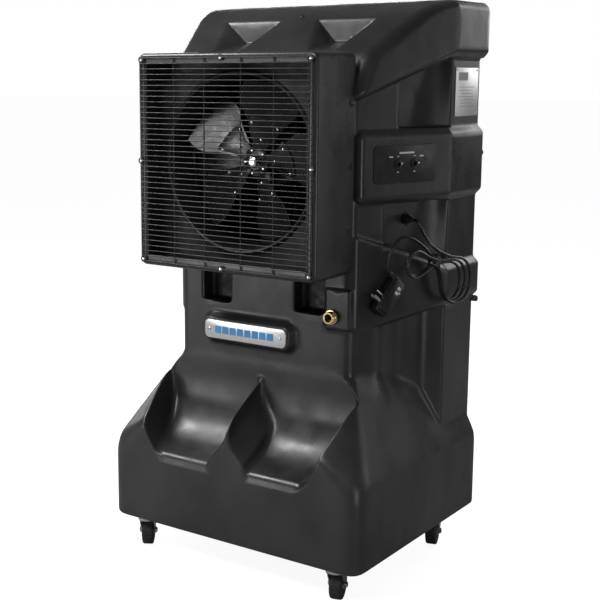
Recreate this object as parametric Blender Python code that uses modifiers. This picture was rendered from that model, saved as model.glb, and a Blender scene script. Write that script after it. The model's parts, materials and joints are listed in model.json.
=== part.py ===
"""Portable evaporative cooler, modelled in metres with +Z up.

The origin is on the floor, under the middle of the object. The fan blows
towards -Y and the pads are at the back, towards +Y.
"""

import math

import bmesh
import bpy
from mathutils import Matrix, Vector

# Driving dimensions
GAP = 0.0004  # between neighbouring pieces
FRONT = -0.3195  # front of the fan guard
REAR = 0.3135  # rear face of the housing
HEIGHT = 1.402
WALL = 0.008

BASE_X = 0.3695
BASE_FRONT = -0.3055
BASE_BOTTOM = 0.090
CREASE_Z = 0.297

COLUMN_FRONT = -0.1535
ANGLE_FRONT = Vector((0.254, -0.140))  # plan ends of the column's angled face
ANGLE_REAR = Vector((0.346, 0.133))
BELT = 0.015  # how far the belts and the cap stand out of the column

COWL_SIZE = 0.510
COWL_FRONT = -0.3135
COWL_REAR = COLUMN_FRONT - GAP
FAN_Z = 1.019
RING_RADIUS = 0.2045
VENTURI_Y = -0.2535
HUB_Y = -0.184
BLADE_COUNT = 5
BLADE_FIRST_ANGLE = math.radians(74)
BLADE_PITCH = math.radians(24)

PAD_X = 0.300
PAD_FRONT, PAD_REAR = 0.195, 0.293
PAD_LOW, PAD_HIGH = 0.462, 1.286

WHEEL_RADIUS = 0.0375
WHEEL_WIDTH = 0.030
CASTER_TRAIL = 0.026
# name: (x, y, heading in degrees)
CASTERS = {
    "front_right": (0.288, -0.262, 106.0),
    "front_left": (-0.288, -0.262, 122.0),
    "rear_right": (0.300, 0.2265, -73.0),
    "rear_left": (-0.300, 0.2265, 200.0),
}

CORD_RADIUS = 0.0035
TIE_CENTRE = Vector((0.3641, 0.0495, 0.7804))
HANK_ALONG = Vector((0.2, 1.0, 0.0)).normalized()

for leftover in list(bpy.data.objects):
    bpy.data.objects.remove(leftover, do_unlink=True)
PARTS = bpy.data.collections.new("evaporative_cooler")
bpy.context.scene.collection.children.link(PARTS)


def material(name, colour, roughness, metallic=0.0):
    made = bpy.data.materials.new(name)
    made.use_nodes = True
    shader = made.node_tree.nodes["Principled BSDF"]
    shader.inputs["Base Color"].default_value = (*colour, 1.0)
    shader.inputs["Roughness"].default_value = roughness
    shader.inputs["Metallic"].default_value = metallic
    return made


BLACK_POLY = material("black_polyethylene", (0.018, 0.018, 0.020), 0.42)
BLACK_PAINT = material("black_paint", (0.012, 0.012, 0.013), 0.28)
BLACK_RUBBER = material("black_rubber", (0.015, 0.015, 0.015), 0.60)
ZINC = material("zinc", (0.62, 0.62, 0.60), 0.35, 1.0)
STEEL = material("steel", (0.55, 0.55, 0.56), 0.30, 1.0)
BRASS = material("brass", (0.72, 0.52, 0.22), 0.28, 1.0)
PADDING = material("cellulose_pad", (0.30, 0.17, 0.09), 0.90)
GREY_PLASTIC = material("grey_plastic", (0.30, 0.31, 0.32), 0.45)
WHITE_LABEL = material("silver_label", (0.75, 0.75, 0.76), 0.35)


# ---------------------------------------------------------------- helpers


def add(name, mesh, finish=None, smooth=40.0):
    made = bpy.data.objects.new(name, mesh)
    PARTS.objects.link(made)
    if finish:
        mesh.materials.clear()
        mesh.materials.append(finish)
    mesh.shade_smooth()
    mesh.set_sharp_from_angle(angle=math.radians(smooth))
    return made


def from_bmesh(name, bm, finish=None):
    bmesh.ops.recalc_face_normals(bm, faces=bm.faces)
    if bm.calc_volume(signed=True) < 0:
        bmesh.ops.reverse_faces(bm, faces=bm.faces)
    mesh = bpy.data.meshes.new(name)
    bm.to_mesh(mesh)
    bm.free()
    return add(name, mesh, finish)


def evaluated_mesh(source):
    bpy.context.view_layer.update()
    graph = bpy.context.evaluated_depsgraph_get()
    return bpy.data.meshes.new_from_object(source.evaluated_get(graph))


def bevel_edges(bm, wanted, width, segments):
    edges = [e for e in bm.edges if wanted(e)]
    bmesh.ops.bevel(bm, geom=edges, offset=width, segments=segments, affect="EDGES", profile=0.5)


def box(name, low, high, finish=None, bevel=0.0, segments=2, along=None):
    """A box between two corners. With along, only the edges along that axis are rounded."""
    low, high = Vector(low), Vector(high)
    bm = bmesh.new()
    bmesh.ops.create_cube(bm, size=1.0)
    bmesh.ops.scale(bm, vec=high - low, verts=bm.verts)
    bmesh.ops.translate(bm, vec=(low + high) / 2, verts=bm.verts)

    def chosen(edge):
        if along is None:
            return True
        return abs((edge.verts[0].co - edge.verts[1].co).normalized()[along]) > 0.99

    if bevel:
        bevel_edges(bm, chosen, bevel, segments)
    return from_bmesh(name, bm, finish)


def rod(name, radius, start, end, finish=None, sides=20, end_radius=None):
    """A cylinder or a cone between two points."""
    start, end = Vector(start), Vector(end)
    bm = bmesh.new()
    tip = radius if end_radius is None else end_radius
    length = (end - start).length
    bmesh.ops.create_cone(
        bm, cap_ends=True, segments=sides, radius1=radius, radius2=tip, depth=length
    )
    turn = (end - start).to_track_quat("Z", "Y").to_matrix().to_4x4()
    bm.transform(Matrix.Translation((start + end) / 2) @ turn)
    return from_bmesh(name, bm, finish)


def hull(name, points, finish=None):
    bm = bmesh.new()
    for point in points:
        bm.verts.new(point)
    made = bmesh.ops.convex_hull(bm, input=bm.verts, use_existing_faces=False)
    spare = [g for g in made["geom_interior"] + made["geom_unused"] if isinstance(g, bmesh.types.BMVert)]
    bmesh.ops.delete(bm, geom=list(set(spare)), context="VERTS")
    bmesh.ops.dissolve_limit(bm, angle_limit=0.002, verts=bm.verts, edges=bm.edges)
    return from_bmesh(name, bm, finish)


AXIS_MAPS = {
    "X": Matrix(((0, 0, 1, 0), (1, 0, 0, 0), (0, 1, 0, 0), (0, 0, 0, 1))),
    "Y": Matrix(((1, 0, 0, 0), (0, 0, 1, 0), (0, 1, 0, 0), (0, 0, 0, 1))),
    "Z": Matrix.Identity(4),
}


def prism(name, outline, low, high, axis, finish=None, frame=None):
    """A flat outline extruded along an axis: (y, z) along X, (x, z) along Y, (x, y) along Z.

    With frame, the outline is placed by that matrix instead.
    """
    curve = bpy.data.curves.new(name, "CURVE")
    curve.dimensions = "2D"
    curve.fill_mode = "BOTH"
    curve.extrude = (high - low) / 2
    spline = curve.splines.new("POLY")
    spline.points.add(len(outline) - 1)
    for point, (u, v) in zip(spline.points, outline):
        point.co = (u, v, 0.0, 1.0)
    spline.use_cyclic_u = True
    source = bpy.data.objects.new(name + "_outline", curve)
    PARTS.objects.link(source)
    mesh = evaluated_mesh(source)
    bpy.data.objects.remove(source)
    bm = bmesh.new()
    bm.from_mesh(mesh)
    bmesh.ops.remove_doubles(bm, verts=bm.verts, dist=0.00001)
    bmesh.ops.dissolve_limit(bm, angle_limit=0.002, verts=bm.verts, edges=bm.edges)
    bmesh.ops.translate(bm, vec=(0, 0, (low + high) / 2), verts=bm.verts)
    bm.transform(frame if frame else AXIS_MAPS[axis])
    return from_bmesh(name, bm, finish)


def turned(name, profile, centre, axis, finish=None, steps=32):
    """A profile of (radius, height) turned round an axis through centre."""
    mesh = bpy.data.meshes.new(name)
    bm = bmesh.new()
    corners = [bm.verts.new((radius, 0.0, height)) for radius, height in profile]
    for first, second in zip(corners, corners[1:] + corners[:1]):
        if first.co.x > 0 or second.co.x > 0:
            bm.edges.new((first, second))
    bm.to_mesh(mesh)
    bm.free()
    source = bpy.data.objects.new(name + "_profile", mesh)
    PARTS.objects.link(source)
    screw = source.modifiers.new("turn", "SCREW")
    screw.axis = "Z"
    screw.angle = math.tau
    screw.steps = screw.render_steps = steps
    screw.use_merge_vertices = True
    screw.merge_threshold = 0.00001
    solid = evaluated_mesh(source)
    bpy.data.objects.remove(source)
    bm = bmesh.new()
    bm.from_mesh(solid)
    turn = Vector(axis).to_track_quat("Z", "Y").to_matrix().to_4x4()
    bm.transform(Matrix.Translation(Vector(centre)) @ turn)
    return from_bmesh(name, bm, finish)


def tube(name, points, radius, finish, sides_level=2):
    """A bent tube along a smooth curve through the points."""
    curve = bpy.data.curves.new(name, "CURVE")
    curve.dimensions = "3D"
    curve.bevel_depth = radius
    curve.bevel_resolution = sides_level
    curve.use_fill_caps = True
    spline = curve.splines.new("POLY")
    spline.points.add(len(points) - 1)
    for point, place in zip(spline.points, points):
        point.co = (*place, 1.0)
    made = bpy.data.objects.new(name, curve)
    curve.materials.append(finish)
    PARTS.objects.link(made)
    return made


def smooth_route(points, step):
    """Points about a step apart along a Catmull-Rom curve through the given ones."""
    points = [Vector(p) for p in points]
    ends = [2 * points[0] - points[1]] + points + [2 * points[-1] - points[-2]]
    route = [points[0]]
    for before, a, b, after in zip(ends, ends[1:], ends[2:], ends[3:]):
        count = max(1, round((b - a).length / step))
        for i in range(1, count + 1):
            t = i / count
            route.append(
                0.5
                * (
                    2 * a
                    + (b - before) * t
                    + (2 * before - 5 * a + 4 * b - after) * t**2
                    + (3 * a - before - 3 * b + after) * t**3
                )
            )
    return route


def combine(target, operation, tools):
    """Applies Boolean operations to the target and removes the tools."""
    for tool in tools:
        modifier = target.modifiers.new(operation.lower(), "BOOLEAN")
        modifier.operation = operation
        modifier.solver = "EXACT"
        modifier.object = tool
        mesh = evaluated_mesh(target)
        target.modifiers.clear()
        bm = bmesh.new()
        bm.from_mesh(mesh)
        bmesh.ops.remove_doubles(bm, verts=bm.verts, dist=0.00002)
        bmesh.ops.dissolve_degenerate(bm, dist=0.00001, edges=bm.edges)
        bmesh.ops.dissolve_limit(bm, angle_limit=0.002, verts=bm.verts, edges=bm.edges)
        bm.to_mesh(mesh)
        bm.free()
        target.data = mesh
        bpy.data.objects.remove(tool)
    target.data.shade_smooth()
    target.data.set_sharp_from_angle(angle=math.radians(40.0))
    return target


def cut(target, *tools):
    return combine(target, "DIFFERENCE", tools)


def join(target, *tools):
    return combine(target, "UNION", tools)


def pivot(piece, point, parent=None):
    """Puts a piece's origin on a point, without moving its shape."""
    point = Vector(point)
    if piece.type == "MESH":
        piece.data.transform(Matrix.Translation(-point))
        piece.location = point
    if parent:
        piece.parent = parent
        piece.location = (point if piece.type == "MESH" else Vector()) - parent.location
    return piece


def empty(name, point):
    made = bpy.data.objects.new(name, None)
    made.empty_display_size = 0.03
    PARTS.objects.link(made)
    made.location = point
    return made


def mirrored(points):
    return [Vector(p) for p in points] + [Vector((-p[0], p[1], p[2])) for p in points]


def arc(centre, radius, start, end, count):
    """Points on an arc, with angles in degrees."""
    angles = [math.radians(start + (end - start) * i / count) for i in range(count + 1)]
    return [(centre[0] + radius * math.cos(a), centre[1] + radius * math.sin(a)) for a in angles]


def rounded_rectangle(low, high, radius, count=4):
    corners = (
        ((high[0] - radius, low[1] + radius), -90),
        ((high[0] - radius, high[1] - radius), 0),
        ((low[0] + radius, high[1] - radius), 90),
        ((low[0] + radius, low[1] + radius), 180),
    )
    return [p for centre, start in corners for p in arc(centre, radius, start, start + 90, count)]


ANGLE_ALONG = (ANGLE_REAR - ANGLE_FRONT).normalized()
ANGLE_OUT = Vector((ANGLE_ALONG.y, -ANGLE_ALONG.x))


def on_angle(y, out=0.0):
    """The plan point of the column's angled face at a given y, moved outwards."""
    t = (y - ANGLE_FRONT.y) / (ANGLE_REAR.y - ANGLE_FRONT.y)
    return ANGLE_FRONT.lerp(ANGLE_REAR, t) + ANGLE_OUT * out


def angle_frame(y, z, out):
    """A frame on the angled face: x along it to the rear, y up, z out of it."""
    place = on_angle(y, out)
    along = Vector((*ANGLE_ALONG, 0))
    outward = Vector((*ANGLE_OUT, 0))
    turn = Matrix((along, Vector((0, 0, 1)), outward)).transposed().to_4x4()
    return Matrix.Translation((*place, z)) @ turn


# ---------------------------------------------------------------- housing


def column():
    front_radius = 0.022
    corner = Vector((0.2385, COLUMN_FRONT))
    half = [(0.232, COLUMN_FRONT)]
    half += arc((corner.x - 0.0065, COLUMN_FRONT + front_radius), front_radius, -90, -18, 4)[1:]
    half += [tuple(ANGLE_REAR), (ANGLE_REAR.x, REAR - 0.0005)]
    outline = half + [(-x, y) for x, y in reversed(half)]
    return prism("housing", outline, 0.20, 1.272, "Z", BLACK_POLY)


POCKET_DEPTH = 0.042
# (front y, low z, high z) of the tall pockets in the angled face
POCKETS = ((-0.0135, 1.060, 1.262), (-0.0535, 0.740, 0.960), (0.0265, 0.300, 0.690))


def pocket(side, front_y, low, high):
    """A pocket with a straight front wall and a ramp that runs out at the column's corner."""
    outside = 0.03
    floor_end = front_y + 0.62 * (ANGLE_REAR.y - front_y)
    plan = [
        on_angle(front_y, outside),
        on_angle(front_y + 0.004, -POCKET_DEPTH),
        on_angle(floor_end, -POCKET_DEPTH),
        on_angle(ANGLE_REAR.y - 0.018, -0.012),
        on_angle(ANGLE_REAR.y - 0.003, 0.0),
        on_angle(ANGLE_REAR.y - 0.003, outside),
    ]
    return prism("pocket", [(side * p.x, p.y) for p in plan], low, high, "Z")


# (face y, low z, high z) at the front, the corner and the rear of each belt
BELTS = (
    ((-0.140, 0.938, 1.084), (0.133, 0.938, 1.084), (0.311, 0.938, 1.084)),
    ((-0.140, 0.630, 0.850), (0.133, 0.671, 0.749), (0.311, 0.671, 0.749)),
)


def belt_plan(y):
    """The belt's outer plan point, where the column's face has the given y."""
    if y > ANGLE_REAR.y:
        return Vector((ANGLE_REAR.x + BELT, y))
    if y == ANGLE_REAR.y:
        return Vector((ANGLE_REAR.x + BELT, y - 0.005))
    return on_angle(y, BELT)


def belt_piece(side, stations):
    points = []
    inner_x = 0.20
    for y, low, high in stations:
        outer = belt_plan(y)
        face = ANGLE_REAR.x if y > ANGLE_REAR.y else on_angle(y).x
        points += [(outer.x, outer.y, low), (outer.x, outer.y, high)]
        for x in (face, inner_x):
            points += [(x, y, low - BELT), (x, y, high + BELT)]
    return hull("belt", [(side * x, y, z) for x, y, z in points])


def cap():
    """The top of the housing, whose lower edge slants along the angled faces."""
    front_out = on_angle(-0.140, BELT)
    corner_x = ANGLE_REAR.x + BELT
    points = [
        (front_out.x, front_out.y, 1.182),
        (front_out.x - 0.006, front_out.y + 0.002, 1.222),
        (0.226, -0.1235, 1.2735),
        (corner_x, 0.128, 1.280),
        (corner_x, REAR, 1.280),
        (0.328, 0.0565, 1.391),
        (0.322, 0.105, HEIGHT),
    ]
    for angle in (0, 25, 50, 75):
        rise = 0.055 * math.sin(math.radians(angle))
        inset = 0.055 * (1 - math.cos(math.radians(angle)))
        points.append((corner_x - inset, 0.128 - 0.4 * inset, 1.344 + rise))
        points.append((corner_x - inset, REAR - 0.6 * inset, 1.344 + rise))
    points.append((0.310, REAR - 0.040, HEIGHT))
    return hull("cap", mirrored(points))


def base():
    """The base with its sloping shoulders, before the scoops are cut."""
    corner = 0.030
    points = []
    for z, inset in ((BASE_BOTTOM, 0.010), (BASE_BOTTOM + 0.012, 0.0), (0.270, 0.0)):
        for x, y in arc((BASE_X - corner, BASE_FRONT + corner), corner - inset, -90, 0, 4):
            points.append((x, y, z))
        points.append((BASE_X - inset, REAR, z))
    points += [
        (BASE_X, -0.262, CREASE_Z),
        (BASE_X, REAR, 0.287),
        (0.350, -0.290, 0.305),
        (0.263, BASE_FRONT, 0.345),
        (0.285, -0.2355, 0.404),
        (0.300, -0.1525, 0.478),
        (0.296, -0.060, 0.478),
        (0.300, 0.1095, 0.440),
        (ANGLE_REAR.x, REAR, 0.337),
        (0.0, BASE_FRONT, 0.362),
        (0.0, -0.2785, 0.398),
    ]
    return hull("base", mirrored(points))


SCOOP_FLOOR = (
    (-0.330, 0.250),
    (-0.3055, 0.268),
    (-0.296, 0.283),
    (-0.278, 0.291),
    (-0.238, 0.309),
    (-0.203, 0.337),
    (-0.180, 0.368),
    (-0.163, 0.402),
    (-0.1545, 0.440),
    (-0.1540, 0.600),
    (-0.330, 0.600),
)
SCOOP_SIDES = (
    (0.050, 0.240),
    (0.045, 0.300),
    (0.030, 0.365),
    (0.014, 0.420),
    (0.003, 0.470),
    (0.003, 0.620),
    (0.310, 0.620),
    (0.302, 0.484),
    (0.285, 0.404),
    (0.257, 0.345),
    (0.190, 0.268),
    (0.178, 0.240),
)


def scoop(side):
    floor = prism("scoop", SCOOP_FLOOR, -0.40, 0.40, "X")
    sides = prism("scoop_sides", [(side * x, z) for x, z in SCOOP_SIDES], -0.40, -0.10, "Y")
    return combine(floor, "INTERSECT", [sides])


def slope_pocket(side):
    """A trapezoid recess in the slope between the cowl and the top."""
    upper = [(0.056, 0.001), (0.218, 0.001)]
    lower = [(0.108, -0.1165), (0.166, -0.1165)]
    points = []
    for x, y in upper + lower:
        slope_z = 1.2735 + (1.391 - 1.2735) * (y + 0.1235) / 0.180
        points += [(x, y, slope_z + 0.03), (x * 0.9 + 0.0137, y * 0.92 - 0.004, slope_z - 0.034)]
    return hull("slope_pocket", [(side * x, y, z) for x, y, z in points])


NAMEPLATE_LOW, NAMEPLATE_HIGH = (-0.155, 0.570), (0.090, 0.617)
BOSS_FRONT = COLUMN_FRONT - 0.026


def nameplate_boss():
    front = rounded_rectangle(
        (NAMEPLATE_LOW[0] - 0.004, NAMEPLATE_LOW[1] - 0.004),
        (NAMEPLATE_HIGH[0] + 0.004, NAMEPLATE_HIGH[1] + 0.004),
        0.014,
        3,
    )
    foot = rounded_rectangle(
        (NAMEPLATE_LOW[0] - 0.012, NAMEPLATE_LOW[1] - 0.012),
        (NAMEPLATE_HIGH[0] + 0.022, NAMEPLATE_HIGH[1] + 0.016),
        0.020,
        3,
    )
    points = [(x, BOSS_FRONT, z) for x, z in front]
    points += [(x, COLUMN_FRONT + 0.006, z) for x, z in foot]
    return hull("nameplate_boss", points)


INLET = Vector((0.205, COLUMN_FRONT - 0.004, 0.659))
INLET_RADIUS = 0.010
PLENUM_X = 0.225
BAY_X = 0.305


def housing():
    body = column()
    sides = (-1, 1)
    cut(body, *[pocket(side, *shape) for side in sides for shape in POCKETS])
    for stations in BELTS:
        for side in sides:
            join(body, belt_piece(side, stations[:2]), belt_piece(side, stations[1:]))
    join(body, cap(), base(), nameplate_boss())
    inlet_low = (INLET.x - 0.020, INLET.y, INLET.z - 0.030)
    inlet_high = (0.254, COLUMN_FRONT + 0.020, INLET.z + 0.068)
    join(body, box("inlet_boss", inlet_low, inlet_high, bevel=0.003, segments=1))
    cut(body, *[scoop(side) for side in sides], *[slope_pocket(side) for side in sides])
    for side in sides:
        low = (min(side * 0.094, side * 0.180), COLUMN_FRONT - 0.05, 0.660)
        high = (max(side * 0.094, side * 0.180), COLUMN_FRONT + 0.0075, 0.790)
        cut(body, box("recess", low, high, bevel=0.006, along=1))

    roof = [(-0.1455, 0.500), (-0.1455, 1.205), (0.060, 1.325), (0.170, 1.325), (0.170, 0.500)]
    rear_open = REAR + 0.02
    cut(
        body,
        prism("plenum", roof, -PLENUM_X, PLENUM_X, "X"),
        box("pad_bay", (-BAY_X, 0.165, 0.452), (BAY_X, rear_open, 1.335)),
        box("sump_way", (-0.200, -0.020, 0.240), (0.200, 0.285, 0.520)),
        box("reservoir", (-0.350, -0.285, BASE_BOTTOM + WALL), (0.350, 0.295, 0.262)),
        rod("fan_hole", 0.210, (0, -0.20, FAN_Z), (0, -0.10, FAN_Z), sides=40),
        rod("inlet_hole", INLET_RADIUS + GAP, INLET + Vector((0, -0.02, 0)), INLET + Vector((0, 0.05, 0))),
        rod("drain_hole", 0.0125, (0.24, 0.27, 0.125), (0.24, REAR + 0.03, 0.125)),
    )
    hole = gland_frame()
    cut(body, rod("gland_hole", GLAND_RADIUS + GAP, hole @ Vector((0, 0, -0.03)), hole @ Vector((0, 0, 0.03))))
    return body


# ---------------------------------------------------------------- fan


def fan_cowl():
    half = COWL_SIZE / 2
    low, high = (-half, COWL_FRONT, FAN_Z - half), (half, COWL_REAR, FAN_Z + half)
    cowl = box("fan_cowl", low, high, BLACK_POLY, bevel=0.012, segments=3, along=1)
    wall, lip = 0.004, 0.023
    inner, window = half - wall, half - lip
    cut(
        cowl,
        box(
            "inside",
            (-inner, COWL_FRONT + wall, FAN_Z - inner),
            (inner, COWL_REAR + 0.05, FAN_Z + inner),
            bevel=0.008,
            along=1,
        ),
        box(
            "window",
            (-window, COWL_FRONT - 0.05, FAN_Z - window),
            (window, COWL_FRONT + 0.05, FAN_Z + window),
            bevel=0.008,
            along=1,
        ),
    )


def venturi_panel():
    """A shallow pan with a round throat, fixed inside the cowl."""
    half, sheet = COWL_SIZE / 2 - 0.0045, 0.0025
    rear = -0.158
    pan = box("venturi_panel", (-half, VENTURI_Y, FAN_Z - half), (half, rear, FAN_Z + half), BLACK_PAINT, 0.008, along=1)
    inner = half - sheet
    low = (-inner, VENTURI_Y + sheet, FAN_Z - inner)
    cut(pan, box("inside", low, (inner, rear + 0.05, FAN_Z + inner), bevel=0.006, along=1))
    mouth = RING_RADIUS + 0.012
    cut(pan, rod("mouth", mouth, (0, -0.30, FAN_Z), (0, -0.20, FAN_Z), sides=48))
    throat = [
        (RING_RADIUS, -0.085),
        (RING_RADIUS, -0.014),
        (RING_RADIUS + 0.004, -0.004),
        (mouth - 0.001, 0.0),
        (mouth + 0.003, -0.0012),
        (RING_RADIUS + 0.0065, -0.006),
        (RING_RADIUS + 0.0025, -0.015),
        (RING_RADIUS + 0.0025, -0.085),
    ]
    join(pan, turned("throat", throat, (0, VENTURI_Y, FAN_Z), (0, -1, 0), steps=48))


def fan_guard():
    """The guard's lattice, from a flat grid with a Wireframe modifier."""
    size, bar = 0.488, 0.003
    bm = bmesh.new()
    bmesh.ops.create_grid(bm, x_segments=6, y_segments=16, size=0.5)
    bmesh.ops.scale(bm, vec=(size, size, 1), verts=bm.verts)
    bm.transform(Matrix.Translation((0, FRONT + bar / 2, FAN_Z)) @ Matrix.Rotation(math.pi / 2, 4, "X"))
    guard = from_bmesh("fan_guard", bm, BLACK_PAINT)
    wire = guard.modifiers.new("lattice", "WIREFRAME")
    wire.thickness = bar
    wire.use_even_offset = False
    wire.use_boundary = True
    wire.use_replace = True


BLADE_OUTLINE = ((0.044, -0.024), (0.092, -0.044), (0.130, -0.075), (0.178, -0.074))
BLADE_TIP = 0.193


def fan_rotor():
    """The spider, five blades, shaft and hub cap, all turning about the fan's axis."""
    axis = empty("fan_axis", (0, HUB_Y, FAN_Z))
    spider = rod("fan_hub", 0.036, (0, HUB_Y, FAN_Z), (0, HUB_Y + 0.010, FAN_Z), BLACK_PAINT, 30)
    join(spider, rod("boss", 0.018, (0, HUB_Y + 0.005, FAN_Z), (0, HUB_Y + 0.026, FAN_Z)))
    shaft_radius = 0.008
    for number in range(BLADE_COUNT):
        angle = BLADE_FIRST_ANGLE + math.tau * number / BLADE_COUNT
        arm = Matrix.Translation((0, HUB_Y + 0.006, FAN_Z)) @ Matrix.Rotation(-angle, 4, "Y")
        arm = arm @ Matrix.Rotation(BLADE_PITCH, 4, "X") @ AXIS_MAPS["Y"]
        arm_outline = [(0.026, -0.016), (0.104, -0.022), (0.104, 0.022), (0.026, 0.016)]
        join(spider, prism("arm", arm_outline, 0.0, 0.003, "Z", frame=arm))
        trailing = [(r, -c) for r, c in reversed(BLADE_OUTLINE)]
        tip = [(BLADE_TIP * math.cos(a), BLADE_TIP * math.sin(a)) for a in (-0.30, -0.15, 0, 0.15, 0.30)]
        outline = list(BLADE_OUTLINE) + tip + trailing
        blade = prism(f"fan_blade_{number + 1}", outline, -0.0022, -GAP, "Z", BLACK_PAINT, frame=arm)
        cut(blade, rod("clear", 0.0375, (0, HUB_Y - 0.05, FAN_Z), (0, HUB_Y + 0.05, FAN_Z), sides=30))
        pivot(blade, axis.location, axis)
    bore = rod("bore", shaft_radius + GAP, (0, HUB_Y - 0.05, FAN_Z), (0, HUB_Y + 0.05, FAN_Z), sides=24)
    cut(spider, bore)
    pivot(spider, axis.location, axis)
    shaft = rod("motor_shaft", shaft_radius, (0, HUB_Y - 0.004, FAN_Z), (0, -0.105, FAN_Z), STEEL, 24)
    pivot(shaft, axis.location, axis)
    shell = [(0.0, 0.0), (0.0, 0.012), (0.008, 0.0112), (0.0135, 0.008), (0.016, 0.0)]
    hub_cap = turned("hub_cap", shell[::-1], (0, HUB_Y - 0.004 - GAP, FAN_Z), (0, -1, 0), STEEL, 24)
    pivot(hub_cap, axis.location, axis)


def motor():
    front, length, radius = -0.140, 0.140, 0.066
    profile = [
        (0.0, -length),
        (0.0, 0.0),
        (radius * 0.72, 0.0),
        (radius * 0.94, -0.008),
        (radius, -0.020),
        (radius, -length + 0.020),
        (radius * 0.92, -length + 0.006),
        (radius * 0.80, -length),
    ]
    casing = turned("motor_casing", profile[::-1], (0, front, FAN_Z), (0, -1, 0), GREY_PLASTIC, 28)
    cut(casing, rod("shaft_bore", 0.0086, (0, -0.2, FAN_Z), (0, -0.100, FAN_Z), sides=24))
    reach = PLENUM_X - 0.002
    bar = box("motor_mount", (-reach, -0.1450, FAN_Z - 0.040), (reach, -0.1410, FAN_Z + 0.040), BLACK_PAINT)
    plate = rod("plate", 0.070, (0, -0.1450, FAN_Z), (0, -0.1410, FAN_Z), sides=28)
    join(bar, plate)
    cut(bar, rod("shaft_hole", 0.020, (0, -0.2, FAN_Z), (0, -0.1, FAN_Z)))


# ---------------------------------------------------------------- controls, cord


def control_panel():
    half_length, half_height, sheet = 0.100, 0.045, 0.002
    frame = angle_frame(-0.008, 1.017, BELT + GAP)
    outline = rounded_rectangle((-half_length, -half_height), (half_length, half_height), 0.012, 3)
    panel = prism("control_panel", outline, 0.0, sheet, "Z", BLACK_PAINT, frame=frame)
    lever_angle = math.radians(13)
    for name, along in (("fan_switch", -0.026), ("pump_switch", 0.027)):
        bezel = rod("bezel", 0.012, frame @ Vector((along, 0, 0.001)), frame @ Vector((along, 0, 0.0055)), sides=20)
        join(panel, bezel)
        slot_low, slot_high = Vector((along - 0.0045, -0.0075, 0.0012)), Vector((along + 0.0045, 0.0075, 0.02))
        slot = box("slot", slot_low, slot_high)
        slot.data.transform(frame)
        cut(panel, slot)
        centre = frame @ Vector((along, 0, 0.0035))
        up = Vector((0, 0, 1))
        outward = Vector((*ANGLE_OUT, 0))
        direction = (outward * math.cos(lever_angle) + up * math.sin(lever_angle)).normalized()
        lever = rod(name, 0.0018, centre - direction * 0.0012, centre + direction * 0.014, STEEL, 12, 0.0026)
        pivot(lever, centre)


GLAND_RADIUS = 0.009
GLAND_Y, GLAND_Z = 0.047, 0.878


def gland_frame():
    return angle_frame(GLAND_Y, GLAND_Z, -POCKET_DEPTH)


# The lead's route, from the gland down to the folded hank
LEAD_ROUTE = (
    (0.3061, 0.0506, 0.8780),
    (0.3150, 0.0477, 0.8768),
    (0.3240, 0.0455, 0.8700),
    (0.3320, 0.0433, 0.8550),
    (0.3405, 0.0420, 0.8390),
    (0.3515, 0.0460, 0.8240),
    (0.3612, 0.0570, 0.8100),
    (0.3666, 0.0652, 0.7934),
)
# The tail's route, from the hank over to the plug
TAIL_ROUTE = (
    (0.3616, 0.0367, 0.7979),
    (0.3580, 0.0280, 0.8095),
    (0.3524, 0.0174, 0.8196),
    (0.3467, 0.0066, 0.8284),
    (0.3400, -0.0068, 0.8384),
    (0.3335, -0.0200, 0.8458),
    (0.3276, -0.0342, 0.8503),
    (0.3219, -0.0481, 0.8474),
    (0.3175, -0.0580, 0.8382),
    (0.3147, -0.0632, 0.8257),
    (0.3118, -0.0692, 0.8150),
    (0.3090, -0.0752, 0.8060),
    (0.3068, -0.0796, 0.7960),
    (0.3056, -0.0818, 0.7860),
    (0.3061, -0.0797, 0.7755),
    (0.3082, -0.0731, 0.7656),
)


def hank_frame():
    """The plane in which the hank lies: x along it to the rear, y up, z outwards."""
    outward = Vector((HANK_ALONG.y, -HANK_ALONG.x, 0))
    turn = Matrix((HANK_ALONG, Vector((0, 0, 1)), outward)).transposed().to_4x4()
    return Matrix.Translation(TIE_CENTRE) @ turn


HANK_HALF_THICKNESS = 0.011
WAIST = 0.011


def hank_outline():
    """A bow tie: a small lobe to the front, and a larger one that hangs to the rear."""
    front = arc((-0.076, 0.001), 0.041, 50, 310, 10)
    rear = arc((0.081, -0.055), 0.062, -150, 75, 12)
    return [(0.008, WAIST), (-0.008, WAIST)] + front + [(-0.008, -WAIST), (0.008, -WAIST)] + rear


def cord():
    frame = hank_frame()
    thick = HANK_HALF_THICKNESS
    prism("cord_hank", hank_outline(), -thick, thick, "Z", BLACK_RUBBER, frame=frame)
    tie_length, tie_wall = 0.006, 0.003
    outer = Vector((tie_length, WAIST + 0.004 + tie_wall, thick + tie_wall))
    tie = box("cord_tie", -outer, outer, BLACK_RUBBER, bevel=0.002, along=0)
    hole = Vector((0.05, WAIST + 0.0036, thick + GAP))
    cut(tie, box("hole", -hole, hole))
    tie.data.transform(frame)


def gland():
    frame = gland_frame()
    body = rod("cord_gland", GLAND_RADIUS, frame @ Vector((0, 0, -0.012)), frame @ Vector((0, 0, 0.006)), BLACK_RUBBER, 18)
    join(
        body,
        rod("nut", 0.0145, frame @ Vector((0, 0, GAP)), frame @ Vector((0, 0, 0.009)), sides=6),
        rod("relief", 0.0105, frame @ Vector((0, 0, 0.008)), frame @ Vector((0, 0, 0.030)), sides=18, end_radius=0.0055),
    )


PLUG_TOP = Vector((0.3190, -0.0412, 0.7436))
PLUG_END = Vector((0.2989, -0.1007, 0.6701))


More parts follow.
